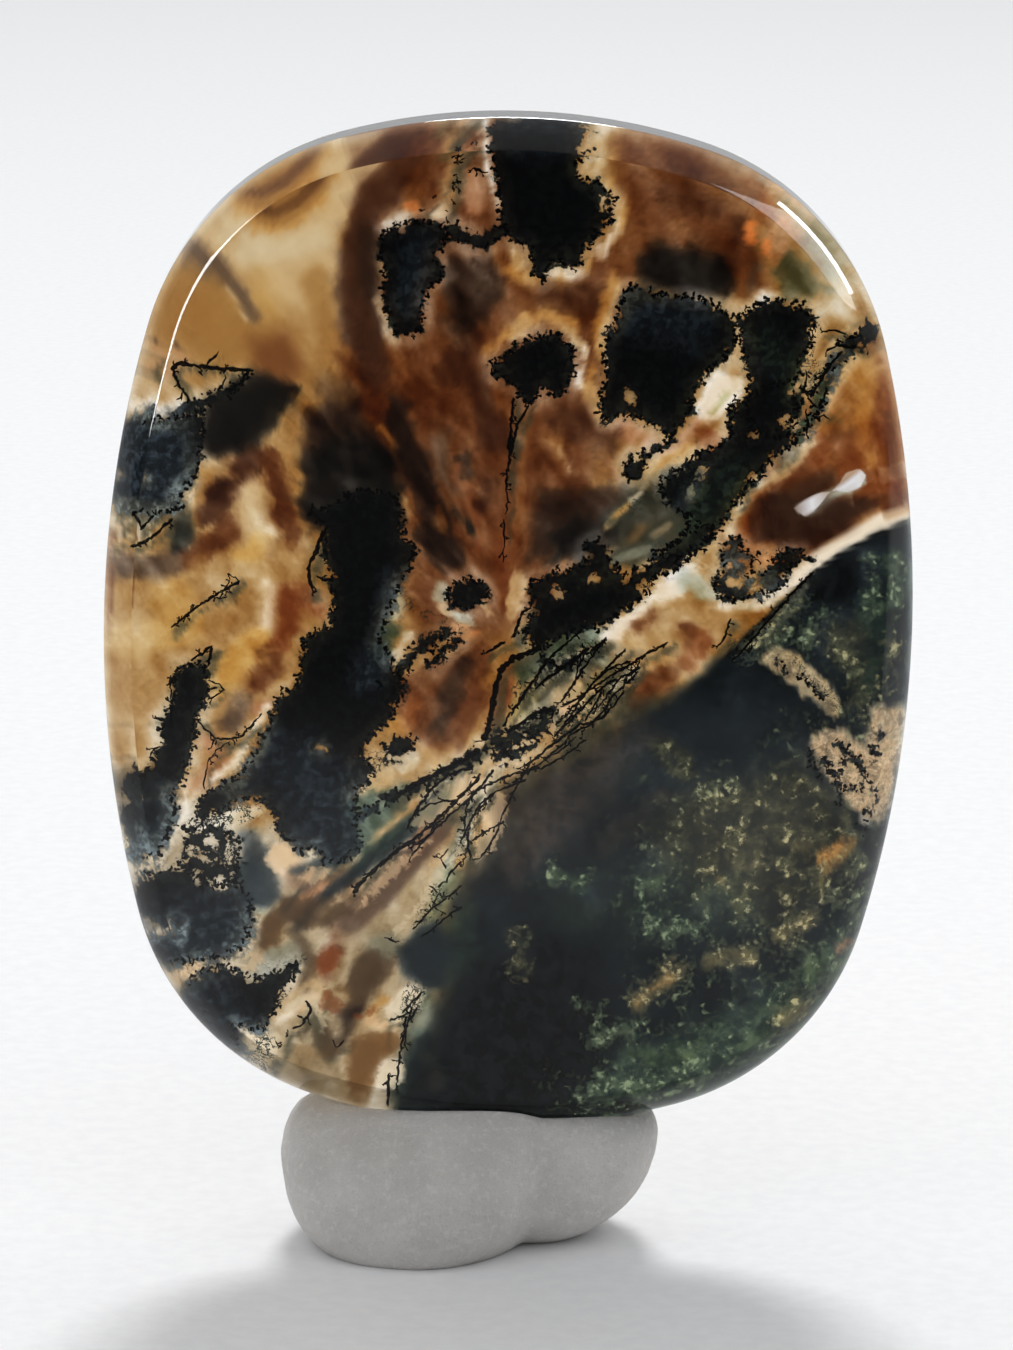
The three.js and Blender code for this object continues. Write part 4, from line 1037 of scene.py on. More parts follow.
def ring(inset, depthY, scale=1.0, grown=0.0):
    flat = edgeCentres + (edgeRadii - inset + grown)[:, None] * edgeTurns
    return np.stack([flat[:, 0] * scale, np.full(len(flat), depthY), flat[:, 1] * scale], axis=1)


def turnedBy(x, y, angle):
    cos, sin = math.cos(angle), math.sin(angle)
    return x * cos - y * sin, x * sin + y * cos


def standUp(points):
    # The stone leans a little to the right as it stands in the putty
    x, z = turnedBy(points[:, 0], points[:, 2], -math.radians(stone["lean"]))
    return np.stack([x, points[:, 1], z + stone["foot"] + stone["height"] / 2], axis=1)


def shoulderRings(grown=0.0):
    rings = []
    start = -stone["girdle"] / 2
    for step in range(stone["shoulderRings"] + 1):
        turn = smooth(step / stone["shoulderRings"]) * math.pi / 2
        power = 2 / stone["shoulderFlatness"]
        inset = stone["shoulderInset"] * (1 - math.cos(turn) ** power)
        rings.append(ring(inset, start - stone["shoulderDepth"] * math.sin(turn) ** power, 1.0, grown))
    return rings


def faceY(scale):
    return -stone["girdle"] / 2 - stone["shoulderDepth"] - stone["dome"] * (1 - scale**2)


def stoneRings():
    backY = stone["girdle"] / 2 + stone["backBevel"]
    rings = []
    for step in range(1, stone["backRings"]):
        rings.append(ring(stone["backBevel"], backY, step / stone["backRings"]))
    for share in stone["bevelShares"]:
        rings.append(ring(stone["backBevel"] * (1 - share), backY - stone["backBevel"] * share))
    for share in stone["girdleShares"]:
        rings.append(ring(0.0, stone["girdle"] * (0.5 - share)))
    rings += shoulderRings()
    for step in range(1, stone["faceRings"]):
        scale = 1 - step / stone["faceRings"]
        rings.append(ring(stone["shoulderInset"], faceY(scale), scale))
    return rings


def placed(name, data):
    thing = bpy.data.objects.new(name, data)
    bpy.context.scene.collection.objects.link(thing)
    return thing


def meshFrom(name, vertices, faces):
    mesh = bpy.data.meshes.new(name)
    mesh.from_pydata([tuple(vertex) for vertex in np.asarray(vertices) * mm], [], faces)
    mesh.validate()
    mesh.update()
    return placed(name, mesh)


def ringMesh(name, rings):
    # Closed skin over rings, with a point in the middle of each end
    count = len(rings[0])
    points = np.vstack([rings[0].mean(axis=0)[None], *rings, rings[-1].mean(axis=0)[None]])
    last = len(points) - 1
    faces = []
    around = np.arange(count)
    following = (around + 1) % count
    for a, b in zip(around, following):
        faces.append((0, 1 + b, 1 + a))
    for level in range(len(rings) - 1):
        low, high = 1 + level * count, 1 + (level + 1) * count
        faces += [(low + a, low + b, high + b, high + a) for a, b in zip(around, following)]
    top = 1 + (len(rings) - 1) * count
    faces += [(last, top + a, top + b) for a, b in zip(around, following)]
    return meshFrom(name, points, faces), points


def smoothShade(thing):
    thing.data.polygons.foreach_set("use_smooth", np.ones(len(thing.data.polygons), bool))


def setField(mesh, name, values):
    if values.ndim == 1:
        mesh.attributes.new(name, "FLOAT", "POINT").data.foreach_set("value", values.astype(np.float32))
    else:
        four = np.ones((len(values), 4), np.float32)
        four[:, :3] = values
        mesh.attributes.new(name, "FLOAT_COLOR", "POINT").data.foreach_set("color", four.ravel())


background = 0.86  # what clear stone lets through of the pale floor

# How far drawn shapes wander: size of the waves and reach in view pixels, seed
wanders = {
    "broad": (60, 9.0, 11),
    "middle": (20, 5.0, 13),
    "tight": (14, 3.0, 31),
    "cloudEdge": (20, 5.0, 71),
    "doubles": (24, 4.0, 411),
    "marks": (30, 1.5, 421),
    "crisp": (40, 1.2, 431),
}
# Unevenness of tone: size of the blotches in view pixels, seed, octaves
blotches = {
    "broadBand": (70, 51, 4),
    "fineBand": (20, 61, 3),
    "clouded": (40, 81, 4),
    "cloudEdge": (30, 91, 3),
    "halo": (26, 401, 3),
}
# Unevenness of painted edges, in view pixels but for the share
paintEdge = {
    "broadSize": 34,
    "fineSize": 12,
    "broadMost": 14,
    "fineMost": 9,
    "broadShare": 0.55,
    "margin": 12,
}
paintSeeds = {"stains": 311, "clouded": 331, "doubles": 413, "marks": 423}
banding = {
    "turn": ((0.78, 0.62), (-0.62, 0.78)),  # along the bands of the stone
    "stretch": (1.9, 0.8),
    "strength": 0.45,
    "limits": (0.45, 1.7),
    "calmed": 0.65,  # less of it where the stains lie even
}
# Edge of the moss, in view pixels but for the breadth
mossEdge = {"far": -60.0, "breadth": 0.12, "windowGrowth": 1.5, "windowSlope": -1.6}
# Paler stone just outside the moss: where it starts and ends in view pixels, and its strength
mossHalo = {"outer": -15, "rise": 9, "inner": 5, "strength": 0.5, "lessClouded": 0.7, "lessPlain": 0.75}
# Softness of the clouded mass's edge in view pixels: at its right, added at its left, and where
cloudEdge = {"soft": 12, "softer": 44, "from": 730, "over": 160}


def dyeDensity(name):
    return -np.log(np.clip(toLinear(dyes[name]) / background, 0.0008, 0.98))


def groundOf(spots, name):
    return np.tile(dyeDensity(name), (len(spots), 1))


def paint(spots, jobs, ground, seed, rough=1.0):
    density = ground.copy()
    broad = cloud(spots, paintEdge["broadSize"], seed)
    fine = cloud(spots, paintEdge["fineSize"], seed + 3, 4, 0.7)
    for dye, half, soft, strength, text in jobs:
        path = readPath(text)
        widest = max(half) if isinstance(half, tuple) else half
        reach = soft + widest + paintEdge["margin"]
        low, high = path.min(axis=0) - reach, path.max(axis=0) + reach
        near = np.all((spots > low) & (spots < high), axis=1)
        if near.any():
            depth = depthInside(spots[near], half, path)
            most = paintEdge["broadMost"]
            depth += rough * min(widest or most, most) * paintEdge["broadShare"] * broad[near]
            depth += rough * min(soft, paintEdge["fineMost"]) * fine[near]
            cover = strength * smooth(depth / (0.8 * soft) + 0.5)
            density[near] += (dyeDensity(dye) - density[near]) * cover[:, None]
    return density


def wander(spots, size, reach, seed):
    # Moves each spot a little, so that soft edges run unevenly
    return spots + reach * np.stack([cloud(spots, size, seed), cloud(spots, size, seed + 5)], axis=1)


def strongest(spots, patches):
    field = np.zeros(len(spots))
    for half, soft, strength, text in patches:
        depth = depthInside(spots, half, readPath(text))
        field = np.maximum(field, strength * smooth(depth / soft + 0.5))
    return field


def patternAt(spots):
    loose = wander(wander(spots, *wanders["broad"]), *wanders["middle"])
    tight = wander(spots, *wanders["tight"])
    density = paint(loose, stains, groundOf(spots, "honey"), paintSeeds["stains"])
    # uneven depth of colour, drawn out along the bands of the stone
    drawn = spots @ np.array(banding["turn"]) * banding["stretch"]
    uneven = banding["strength"] * cloud(drawn, *blotches["broadBand"])
    uneven = uneven + banding["strength"] * cloud(drawn, *blotches["fineBand"])
    uneven *= 1 - banding["calmed"] * strongest(spots, calms)
    density *= np.clip(1 + uneven, *banding["limits"])[:, None]

    mass = np.full(len(spots), mossEdge["far"])
    ragged = np.full(len(spots), mossEdge["breadth"])
    for breadth, half, text in masses:
        depth = depthInside(tight, half, readPath(text))
        ragged = np.where(depth > mass, breadth, ragged)
        mass = np.maximum(mass, depth)
    for half, text in windows:
        depth = depthInside(tight, half + mossEdge["windowGrowth"], readPath(text))
        mass = np.minimum(mass, mossEdge["windowSlope"] * depth)

    clouded = depthInside(wander(spots, *wanders["cloudEdge"]), 0, readPath(cloudMass))
    inner = paint(loose, cloudStains, groundOf(spots, "slate"), paintSeeds["clouded"])
    inner *= np.clip(1 + 0.3 * cloud(spots, *blotches["clouded"]), 0.6, 1.5)[:, None]
    leftwards = smooth((cloudEdge["from"] - spots[:, 0]) / cloudEdge["over"])
    hazy = cloudEdge["soft"] + cloudEdge["softer"] * leftwards
    share = smooth((clouded + 0.2 * hazy * cloud(spots, *blotches["cloudEdge"])) / hazy + 0.5)[:, None]
    density = density * (1 - share) + inner * share
    # the stone is paler just outside the moss, and blurred twigs lie deeper in it
    halo = smooth((mass - mossHalo["outer"]) / mossHalo["rise"])
    halo *= smooth((mossHalo["inner"] - mass) / mossHalo["inner"])
    halo *= smooth(0.75 + 0.6 * cloud(spots, *blotches["halo"]))
    halo *= 1 - strongest(spots, [(0, 30, mossHalo["lessPlain"], twigs["plainAround"])])
    halo *= mossHalo["strength"] * (1 - mossHalo["lessClouded"] * share[:, 0])
    density *= (1 - halo)[:, None]
    doubles = []
    for widths, text in stemPaths:
        doubles.append(("bog", tuple(1.5 * width for width in widths), 6, twigs["doubles"], text))
    moved = wander(spots - twigs["doublesShift"], *wanders["doubles"])
    density = paint(moved, doubles, density, paintSeeds["doubles"])
    density = paint(wander(spots, *wanders["marks"]), marks, density, paintSeeds["marks"], 0.3)

    perMm = view["pixelsPerMm"]
    pattern = {"mass": mass / perMm, "ragged": ragged, "clouded": clouded / perMm}
    steady = wander(spots, *wanders["crisp"])
    for name, half, text in crisp:
        depth = depthInside(steady, half, readPath(text)) / perMm
        pattern[name] = np.maximum(pattern.get(name, -9.0), depth)
    for name, patches in softPatches.items():
        pattern[name] = strongest(loose, patches)
    return density, share[:, 0], pattern


def behindPixels(points):
    # A spot at the back is seen through the spot of the face that the bent sight line passes
    sight = points - cameraPlace
    sight /= np.linalg.norm(sight, axis=1)[:, None]
    bent = np.stack([sight[:, 0], np.zeros(len(points)), sight[:, 2]], axis=1) / stone["refraction"]
    bent[:, 1] = np.sqrt(1 - bent[:, 0] ** 2 - bent[:, 2] ** 2)
    return toPixels(points - bent * ((stoneDepth - stone["backDepth"]) / bent[:, 1])[:, None])


rings = [standUp(points) for points in stoneRings()]
agate, agatePoints = ringMesh("agate_stone", rings)
smoothShade(agate)
backLevels = stone["backRings"] - 1 + len(stone["bevelShares"])  # rings on the back and its bevel
girdleLevels = len(stone["girdleShares"])
front = np.zeros(len(agatePoints), bool)
front[1 + (backLevels + girdleLevels // 2) * stone["around"]:] = True
spots = np.where(front[:, None], toPixels(agatePoints), behindPixels(agatePoints))
# The shoulder bends the sight line inwards, so its facet repeats what lies further in
shoulderStart = 1 + (backLevels + girdleLevels) * stone["around"]
shoulderEnd = shoulderStart + stone["shoulderRings"] * stone["around"]
rimInset = [points[0, 0] for points in shoulderRings()]
rimInset = [rimInset[0] - value for value in rimInset]
lean = math.radians(stone["lean"] + view["roll"])
leanTurn = np.array([[math.cos(lean), math.sin(lean)], [-math.sin(lean), math.cos(lean)]])
outwards = edgeTurns @ leanTurn * (1, -1)
pull = stone["repeat"] * smooth(0.2 + 0.8 * (outwards @ np.array(stone["repeatTowards"])))
spots[shoulderStart:shoulderEnd] -= np.tile(outwards * pull[:, None], (stone["shoulderRings"], 1))
density, clouding, pattern = patternAt(spots)
inset = np.full(len(agatePoints), 9.0)  # mm in from the rim, for the rings where it is thin
for level in range(-stone["thinRings"], stone["shoulderRings"]):
    first = shoulderStart + level * stone["around"]
    inset[first:first + stone["around"]] = rimInset[max(level, 0)]
thinning = smooth(inset / stone["thinRim"])
density *= (stone["rimColour"] + (1 - stone["rimColour"]) * thinning)[:, None]
pattern["mass"] -= (1 - thinning) * stone["rimMoss"]
faceShare = stone["faceShare"] + stone["cloudedShare"] * clouding
colour = np.exp(-density * np.where(front, faceShare, 1 - faceShare)[:, None])
slope, shift = stone["backMoss"]
pattern["mass"] = np.where(front, pattern["mass"], pattern["mass"] * slope + shift)
for name, values in pattern.items():
    setField(agate.data, name, np.clip(values, -stone["fieldLimit"], stone["fieldLimit"]))
setField(agate.data, "dye", colour)
print("stone laid out", len(agatePoints), "points")


agateTones = {
    "darkCurd": (0.012, 0.016, 0.018, 1),
    "greenGrowth": (0.10, 0.135, 0.082, 1),
    "strawGrowth": (0.135, 0.120, 0.062, 1),
    "greenCrumb": (0.30, 0.36, 0.21, 1),
    "strawCrumb": (0.56, 0.47, 0.25, 1),
    # the blue-grey is a painted reflection on the moss, the green the moss's own tint
    "blueSheen": (0.32, 0.42, 0.5, 1),
    "greenMossTint": (0.24, 0.36, 0.22, 1),
    "blackMoss": (0.006, 0.007, 0.009, 1),
    "greyMoss": (0.02, 0.026, 0.024, 1),
    "thinMoss": (0.05, 0.065, 0.05, 1),
    "mossShade": (0.10, 0.105, 0.11, 1),  # of the moss on the back
}


def agateMaterial():
    graph = materialGraph("moss agate")
    place = graph.placeInMm()
    dye = graph.attribute("dye", "Color")
    mass, ragged, clouded = [graph.attribute(name) for name in ("mass", "ragged", "clouded")]
    sheenAndTint, lush, straw, lace, calm = [graph.attribute(name) for name in softPatches]

    # the stain's depth varies in wisps and fine grain
    wisps = graph.noise(place, 1.3, 5.0, 0.6, 0.8)
    grain = graph.noise(place, 7.0, 3.0, 0.6)
    deeper = graph.mix(1.0, dye, dye, "MULTIPLY")
    tilted = graph.add(
        "ShaderNodeMapping",
        {"vector_type": "TEXTURE"},
        {"Vector": place, "Rotation": (0.0, math.radians(-46.0), 0.0), "Scale": (2.6, 1.0, 0.7)},
    )
    streaks = graph.noise(tilted, 2.4, 4.0, 0.62, 0.3)
    flecks = graph.noise(place, 3.1, 4.0, 0.62, 0.5)
    depth = wisps.between(0.36, 0.7) * 0.34 + streaks.between(0.42, 0.66) * 0.1
    depth = depth + flecks.between(0.5, 0.7) * 0.16 + grain.between(0.3, 0.75) * 0.1
    depth = depth * (1 - calm * banding["calmed"])
    body = graph.mix(depth, dye, deeper)

    # the clouded part: dark curds, green and straw growth, bright crumbs
    curds = graph.noise(place, 1.5, 7.0, 0.66, 0.5)
    crumbs = graph.noise(place, 5.2, 3.0, 0.6, 0.4)
    warped = graph.scaled(graph.noise(place, 2.2, 2.0, 0.5, 0.0, "Color"), 0.5)
    warped = graph.add("ShaderNodeVectorMath", {"operation": "ADD"}, {0: place, 1: warped})
    pearls = graph.add(
        "ShaderNodeTexVoronoi",
        {"feature": "SMOOTH_F1"},
        {"Vector": warped, "Scale": 2.6, "Smoothness": 0.5},
    )
    inCloud = clouded.between(-0.15, 0.25)
    body = graph.mix(inCloud * (1 - curds).between(0.44, 0.62) * 0.6, body, agateTones["darkCurd"])
    growth = (lush * 0.8 + (curds - 0.5) * 3.0 + (crumbs - 0.5) * 1.8).between(0.15, 1.0)
    green = graph.mix(straw, agateTones["greenGrowth"], agateTones["strawGrowth"])
    body = graph.mix(inCloud * growth * lush.between(0.0, 0.5) * 0.75, body, green)
    bright = graph.mix(straw, agateTones["greenCrumb"], agateTones["strawCrumb"])
    spark = (0.42 - pearls) * 1.3 + (curds - 0.5) * 3.2 + (crumbs - 0.5) * 1.4 + lush * 0.62
    body = graph.mix(inCloud * spark.between(0.42, 1.2) * lush.between(0.0, 0.5), body, bright)

    # patches whose edges stay sharp close up
    for name, (soft, rough, strength, dyeName) in crispKinds.items():
        tone = np.exp(-0.8 * dyeDensity(dyeName))
        within = graph.attribute(name)
        if rough > 0:
            within = within + (flecks - 0.5) * rough
        body = graph.mix(within.between(-soft, soft) * strength, body, (*tone, 1))

    # the moss: knobbly edge, and black lace where it thins out
    broken = graph.noise(place, 3.0, 5.0, 0.6, 0.3)
    edge = mass + ragged * ((broken - 0.5) * 8.0 + (crumbs - 0.5) * 3.0)
    soft = sheenAndTint.between(0.1, 0.5) + 0.35
    ink = edge.between(-0.04, 0.05)
    ink = ink + (1 - ink) * (soft * edge.between(-0.45, 0.1) * 0.75)
    threads = 1 - abs(broken - 0.5) * 2.0
    ink = ink + (1 - ink) * (threads + lace * 0.14).between(1.04, 1.09)
    mottle = (broken * 1.2 + (crumbs - 0.5) * 0.5).between(0.5, 0.85)
    # the moss is lighter where that field is: blue-grey as a painted reflection on the face, green as the
    # moss's own thinner tint
    mossTint = graph.mix(lush.between(0.3, 0.8), agateTones["blueSheen"], agateTones["greenMossTint"])
    tint = graph.mix(mottle, agateTones["blackMoss"], agateTones["greyMoss"])
    tint = graph.mix(sheenAndTint * (mottle * 0.8 + 0.2), tint, mossTint)
    tint = graph.mix(edge.between(0.12, -0.3) * 0.8, tint, agateTones["thinMoss"])
    body = graph.mix(ink, body, tint)
    base = graph.mix(1.0, body, body, "MULTIPLY")
    return graph.principled({
        "Base Color": base,
        "Roughness": grain.between(0.3, 0.7, 0.015, 0.03),
        "IOR": stone["refraction"],
        "Transmission Weight": 1.0,
        "Specular Tint": stone["rimTint"],
    })


def agateBackMaterial():
    # The ground back holds only the soft depth of the stains and the shade of the moss
    graph = materialGraph("moss agate back")
    shade = graph.attribute("mass").between(-0.5, 0.0)
    body = graph.mix(shade, graph.attribute("dye", "Color"), agateTones["mossShade"])
    return graph.principled({
        "Base Color": graph.mix(1.0, body, body, "MULTIPLY"),
        "Roughness": shade * 0.01 + 0.02,
        "IOR": stone["refraction"],
        "Transmission Weight": 1.0,
        "Specular Tint": stone["rimTint"],
    })


agate.data.materials.append(agateMaterial())
agate.data.materials.append(agateBackMaterial())
backFaces = stone["around"] * backLevels
slots = np.zeros(len(agate.data.polygons), np.int32)
slots[:backFaces] = 1
agate.data.polygons.foreach_set("material_index", slots)
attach(agate, "root")
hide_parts("cabochon")
print("stone material done")


def faceDepthAt(points):
    # Depth of the polished face at places on it, from how far out towards the shoulder they lie
    z = points[:, 2] - stone["foot"] - stone["height"] / 2
    flat = np.stack(turnedBy(points[:, 0], z, math.radians(stone["lean"])), axis=1)
    edge = edgeCentres + (edgeRadii - stone["shoulderInset"])[:, None] * edgeTurns
    angles = np.arctan2(edge[:, 1], edge[:, 0])
    order = np.argsort(angles)
    reach = np.interp(
        np.arctan2(flat[:, 1], flat[:, 0]), angles[order], np.hypot(*edge.T)[order], period=2 * math.pi
    )
    scale = np.hypot(*flat.T) / reach
    beyond = np.clip(scale - 1, 0, 1) * reach
    return faceY(np.minimum(scale, 1)) + beyond, scale


def underFace(pixels, depth):
    points = rayAt(pixels, faceY(0.7))
    for _ in range(2):
        y = faceDepthAt(points)[0]
        sight = points - cameraPlace
        points = cameraPlace + sight * ((y - cameraPlace[1]) / sight[:, 1])[:, None]
    points[:, 1] += depth
    return points


def growStem(spine, radii, sides, vertices, faces):
    along = np.gradient(spine, axis=0)
    along /= np.linalg.norm(along, axis=1)[:, None]
    side = np.cross(along, [0, 1.0, 0])
    side /= np.linalg.norm(side, axis=1)[:, None]
    other = np.cross(along, side)
    turns = np.arange(sides) / sides * 2 * math.pi
    first = len(vertices)
    for centre, radius, u, v in zip(spine, radii, side, other):
        vertices.extend(centre + radius * (math.cos(turn) * u + math.sin(turn) * v) for turn in turns)
    for level in range(len(spine) - 1):
        low, high = first + level * sides, first + (level + 1) * sides
        pairs = [(k, (k + 1) % sides) for k in range(sides)]
        faces.extend((low + a, low + b, high + b, high + a) for a, b in pairs)
    faces.append(tuple(first + k for k in reversed(range(sides))))
    last = first + (len(spine) - 1) * sides
    faces.append(tuple(last + k for k in range(sides)))


def evenly(path, step):
    # Places about one step apart along a path, with the direction there
    stops = np.concatenate([[0], np.cumsum(np.hypot(*np.diff(path, axis=0).T))])
    at = np.linspace(0, stops[-1], max(int(stops[-1] / step), 4))
    spots = np.stack([np.interp(at, stops, path[:, 0]), np.interp(at, stops, path[:, 1])], axis=1)
    along = np.gradient(spots, axis=0)
    return spots, along / np.maximum(np.hypot(*along.T), 1e-6)[:, None]


def turned(direction, angle):
    return np.array(turnedBy(*direction, angle))


def makeTwigs():
    dice = np.random.default_rng(twigs["seed"])
    shoots = []  # pixels along each shoot, half widths in pixels, depth in mm

    def sprout(start, direction, length, width, depth):
        # A short crooked shoot that ends in a knob, at times with a fork
        spots, heading = [start], direction
        for _ in range(4):
            heading = turned(heading, dice.normal(0, 0.45))
            spots.append(spots[-1] + heading * length / 4)
        widths = width * np.array([0.9, 0.7, 0.75, 1.15, 0.5]) * dice.uniform(0.75, 1.25, 5)
        shoots.append((np.array(spots), widths, depth))
        if length > 4.5 and dice.random() < 0.6:
            side = turned(heading, dice.choice([-1, 1]) * dice.uniform(0.5, 1.1))
            sprout(spots[2], side, length * dice.uniform(0.4, 0.7), width * 0.85, depth)

    for (first, last), text in stemPaths:
        spots, along = evenly(readPath(text), twigs["step"])
        widths = np.linspace(first, last, len(spots)) * dice.uniform(0.6, 1.4, len(spots))
        widths *= twigs["thickness"]
        widths[0] *= 0.5
        widths[-1] *= 0.4
        jitter = dice.normal(0, 0.5, spots.shape)
        shoots.append((spots + jitter, widths, twigs["depth"]))
        for spot, heading, width in zip(spots, along, widths):
            if dice.random() < twigs["step"] / twigs["thornEvery"]:
                side = turned(heading, dice.choice([-1, 1]) * dice.uniform(0.35, 1.2))
                sprout(spot, side, dice.uniform(*twigs["thornLength"]), twigs["thickness"], twigs["depth"])
    for breadth, half, text in masses:
        path = readPath(text)
        closed = np.vstack([path, path[:1]]) if half == 0 else path
        spots, along = evenly(closed, twigs["fringeEvery"])
        widest = max(half) if isinstance(half, tuple) else half
        turn = 1 if np.sum(closed[:-1, 0] * closed[1:, 1] - closed[1:, 0] * closed[:-1, 1]) > 0 else -1
        for spot, heading in zip(spots, along):
            side = turn if half == 0 else dice.choice([-1, 1])
            outward = turned(heading, -side * math.pi / 2)
            reach = dice.uniform(*twigs["fringeLength"]) * (0.6 + 2.2 * breadth) * dice.uniform(0.5, 1.2)
            start = spot + outward * (widest - 2.5) + dice.normal(0, 1.6, 2)
            heading = turned(outward, dice.normal(0, 0.6))
            sprout(start, heading, reach, dice.uniform(*twigs["fringeWidth"]), twigs["depth"])

    for (first, last), text in twigs["lines"]:
        spots, _ = evenly(readPath(text), twigs["step"])
        shoots.append((spots, np.linspace(first, last, len(spots)), twigs["depth"]))

    # nothing grows past the polished face
    tips = np.array([spots[-1] for spots, _, _ in shoots])
    starts = np.array([spots[0] for spots, _, _ in shoots])
    inside = [faceDepthAt(rayAt(ends, faceY(0.5)))[1] < twigs["within"] for ends in (tips, starts)]
    shoots = [shoot for shoot, tip, base in zip(shoots, *inside) if tip and base]
    lengths = [len(spots) for spots, _, _ in shoots]
    depths = np.concatenate([np.full(len(spots), depth) for spots, _, depth in shoots])
    spine = underFace(np.vstack([spots for spots, _, _ in shoots]), depths)
    spine += dice.normal(0, twigs["wobble"] * 0.2, spine.shape)
    vertices, faces = [], []
    start = 0
    for count, (_, widths, _) in zip(lengths, shoots):
        growStem(spine[start:start + count], widths / view["pixelsPerMm"], twigs["sides"], vertices, faces)
        start += count
    return meshFrom("moss_twigs", np.array(vertices), faces)


def mossMaterial():
    graph = materialGraph("moss twigs")
    place = graph.placeInMm()
    mottle = graph.noise(place, 5.0, 4.0, 0.6)
    colour = graph.mix(mottle.between(0.35, 0.7), *twigs["colours"])
    return graph.principled({
        "Base Color": colour,
        "Roughness": mottle.between(0.3, 0.8, 0.6, 0.9),
        "Specular IOR Level": 0.1,
    })


stems = makeTwigs()
smoothShade(stems)
stems.data.materials.append(mossMaterial())
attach(stems, "root")
print("twigs grown", len(stems.data.polygons), "faces")


putty = {
    # centre, radii, flare towards the top across and in depth, turn in degrees
    "lobes": [
        ((-3.1, 0.0, 2.2), (5.55, 5.8, 3.75), (0.2, -0.3), -15.0),
        ((1.1, 0.3, 2.6), (4.75, 4.1, 3.1), (0.3, 0.0), 0.0),
    ],
    "plan": 3.0,
    "rise": 1.2,
    "depthPower": 2.0,
    "heightPower": 2.2,
    "voxel": 0.16,  # mm
    "clearance": 0.05,  # mm round the stone
    "dent": 0.10,  # mm, the hand-pressed unevenness
    "dentScale": 25,  # dent units to a mm
    "dentSize": 60,  # dent units
    "dentSeeds": (201, 203),
    "backWall": 4.9,  # mm, height of the wall behind the stone
    "faceScales": (0.8, 0.5, 0.2),  # rings of the stone's face that the groove is cut with
    "tones": ((0.63, 0.612, 0.588, 1), (0.72, 0.70, 0.675, 1)),
    # painted highlight: the raised dimples are coloured lighter
    "dimpleHighlight": (0.84, 0.82, 0.795, 1),
    "gritTone": (0.42, 0.40, 0.375, 1),
}


def puttyLobe(centre, radii, flare, turn):
    blob = bmesh.new()
    bmesh.ops.create_uvsphere(blob, u_segments=96, v_segments=64, radius=1.0)
    turn = math.radians(turn)
    for vertex in blob.verts:
        ball = vertex.co.copy()
        powers = (putty["plan"] + putty["rise"] * ball.z, putty["depthPower"], putty["heightPower"])
        x, y, z = [math.copysign(abs(value) ** (2 / power), value) for value, power in zip(ball, powers)]
        x *= radii[0] * (1 + flare[0] * ball.z)
        y *= radii[1] * (1 + flare[1] * ball.z)
        vertex.co = Vector((
            centre[0] + x * math.cos(turn) - y * math.sin(turn),
            centre[1] + x * math.sin(turn) + y * math.cos(turn),
            centre[2] + z * radii[2],
        )) * mm
    return blob


def applyModifier(thing, kind, **settings):
    modifier = thing.modifiers.new(kind, kind)
    for key, value in settings.items():
        setattr(modifier, key, value)
    bpy.context.view_layer.objects.active = thing
    with bpy.context.temp_override(object=thing, active_object=thing, selected_objects=[thing]):
        bpy.ops.object.modifier_apply(modifier=modifier.name)


def makePutty():
    joined = bmesh.new()
    for shape in putty["lobes"]:
        lobe = puttyLobe(*shape)
        piece = bpy.data.meshes.new("lobe")
        lobe.to_mesh(piece)
        joined.from_mesh(piece)
        lobe.free()
        bpy.data.meshes.remove(piece)
    mesh = bpy.data.meshes.new("putty_lump")
    joined.to_mesh(mesh)
    joined.free()
    lump = placed("putty_lump", mesh)
    applyModifier(lump, "REMESH", mode="VOXEL", voxel_size=putty["voxel"] * mm)
    applyModifier(lump, "SMOOTH", factor=0.5, iterations=1)
    count = len(lump.data.vertices)
    points = np.zeros(count * 3)
    lump.data.vertices.foreach_get("co", points)
    points = points.reshape(-1, 3) / mm
    normals = np.zeros(count * 3)
    lump.data.vertices.foreach_get("normal", normals)
    normals = normals.reshape(-1, 3)
    # dents are laid out on the front and on the side, and each is used where the skin faces it
    bump = 0.0
    for (across, facing), seed in zip(((0, 1), (1, 0)), putty["dentSeeds"]):
        dents = cloud(points[:, [across, 2]] * putty["dentScale"], putty["dentSize"], seed, 4)
        bump = bump + dents * np.abs(normals[:, facing])
    points += normals * (putty["dent"] * bump)[:, None]
    # the wall behind the stone is pressed down lower than the lip in front
    behind = smooth((points[:, 1] - 0.5) / 1.5)
    over = np.maximum(points[:, 2] - putty["backWall"], 0)
    points[:, 2] -= behind * over * 0.85
    points[:, 2] = np.maximum(points[:, 2], 0.0)  # flat foot on the table
    lump.data.vertices.foreach_set("co", (points * mm).ravel())
    lump.data.update()
    return lump


def cutGroove(lump):
    grown = putty["clearance"]
    backY = stone["girdle"] / 2 + stone["backBevel"] + grown
    cutterRings = [
        ring(stone["backBevel"], backY, 1.0, grown),
        ring(0.0, stone["girdle"] / 2 + grown / 2, 1.0, grown),
    ]
    cutterRings += [points - (0, grown, 0) for points in shoulderRings(grown)[1:]]
    for scale in putty["faceScales"]:
        cutterRings.append(ring(stone["shoulderInset"], faceY(scale) - grown, scale, grown))
    cutter, _ = ringMesh("groove_cutter", [standUp(points[::4]) for points in cutterRings])
    applyModifier(lump, "BOOLEAN", operation="DIFFERENCE", object=cutter, solver="EXACT")
    bpy.data.objects.remove(cutter)


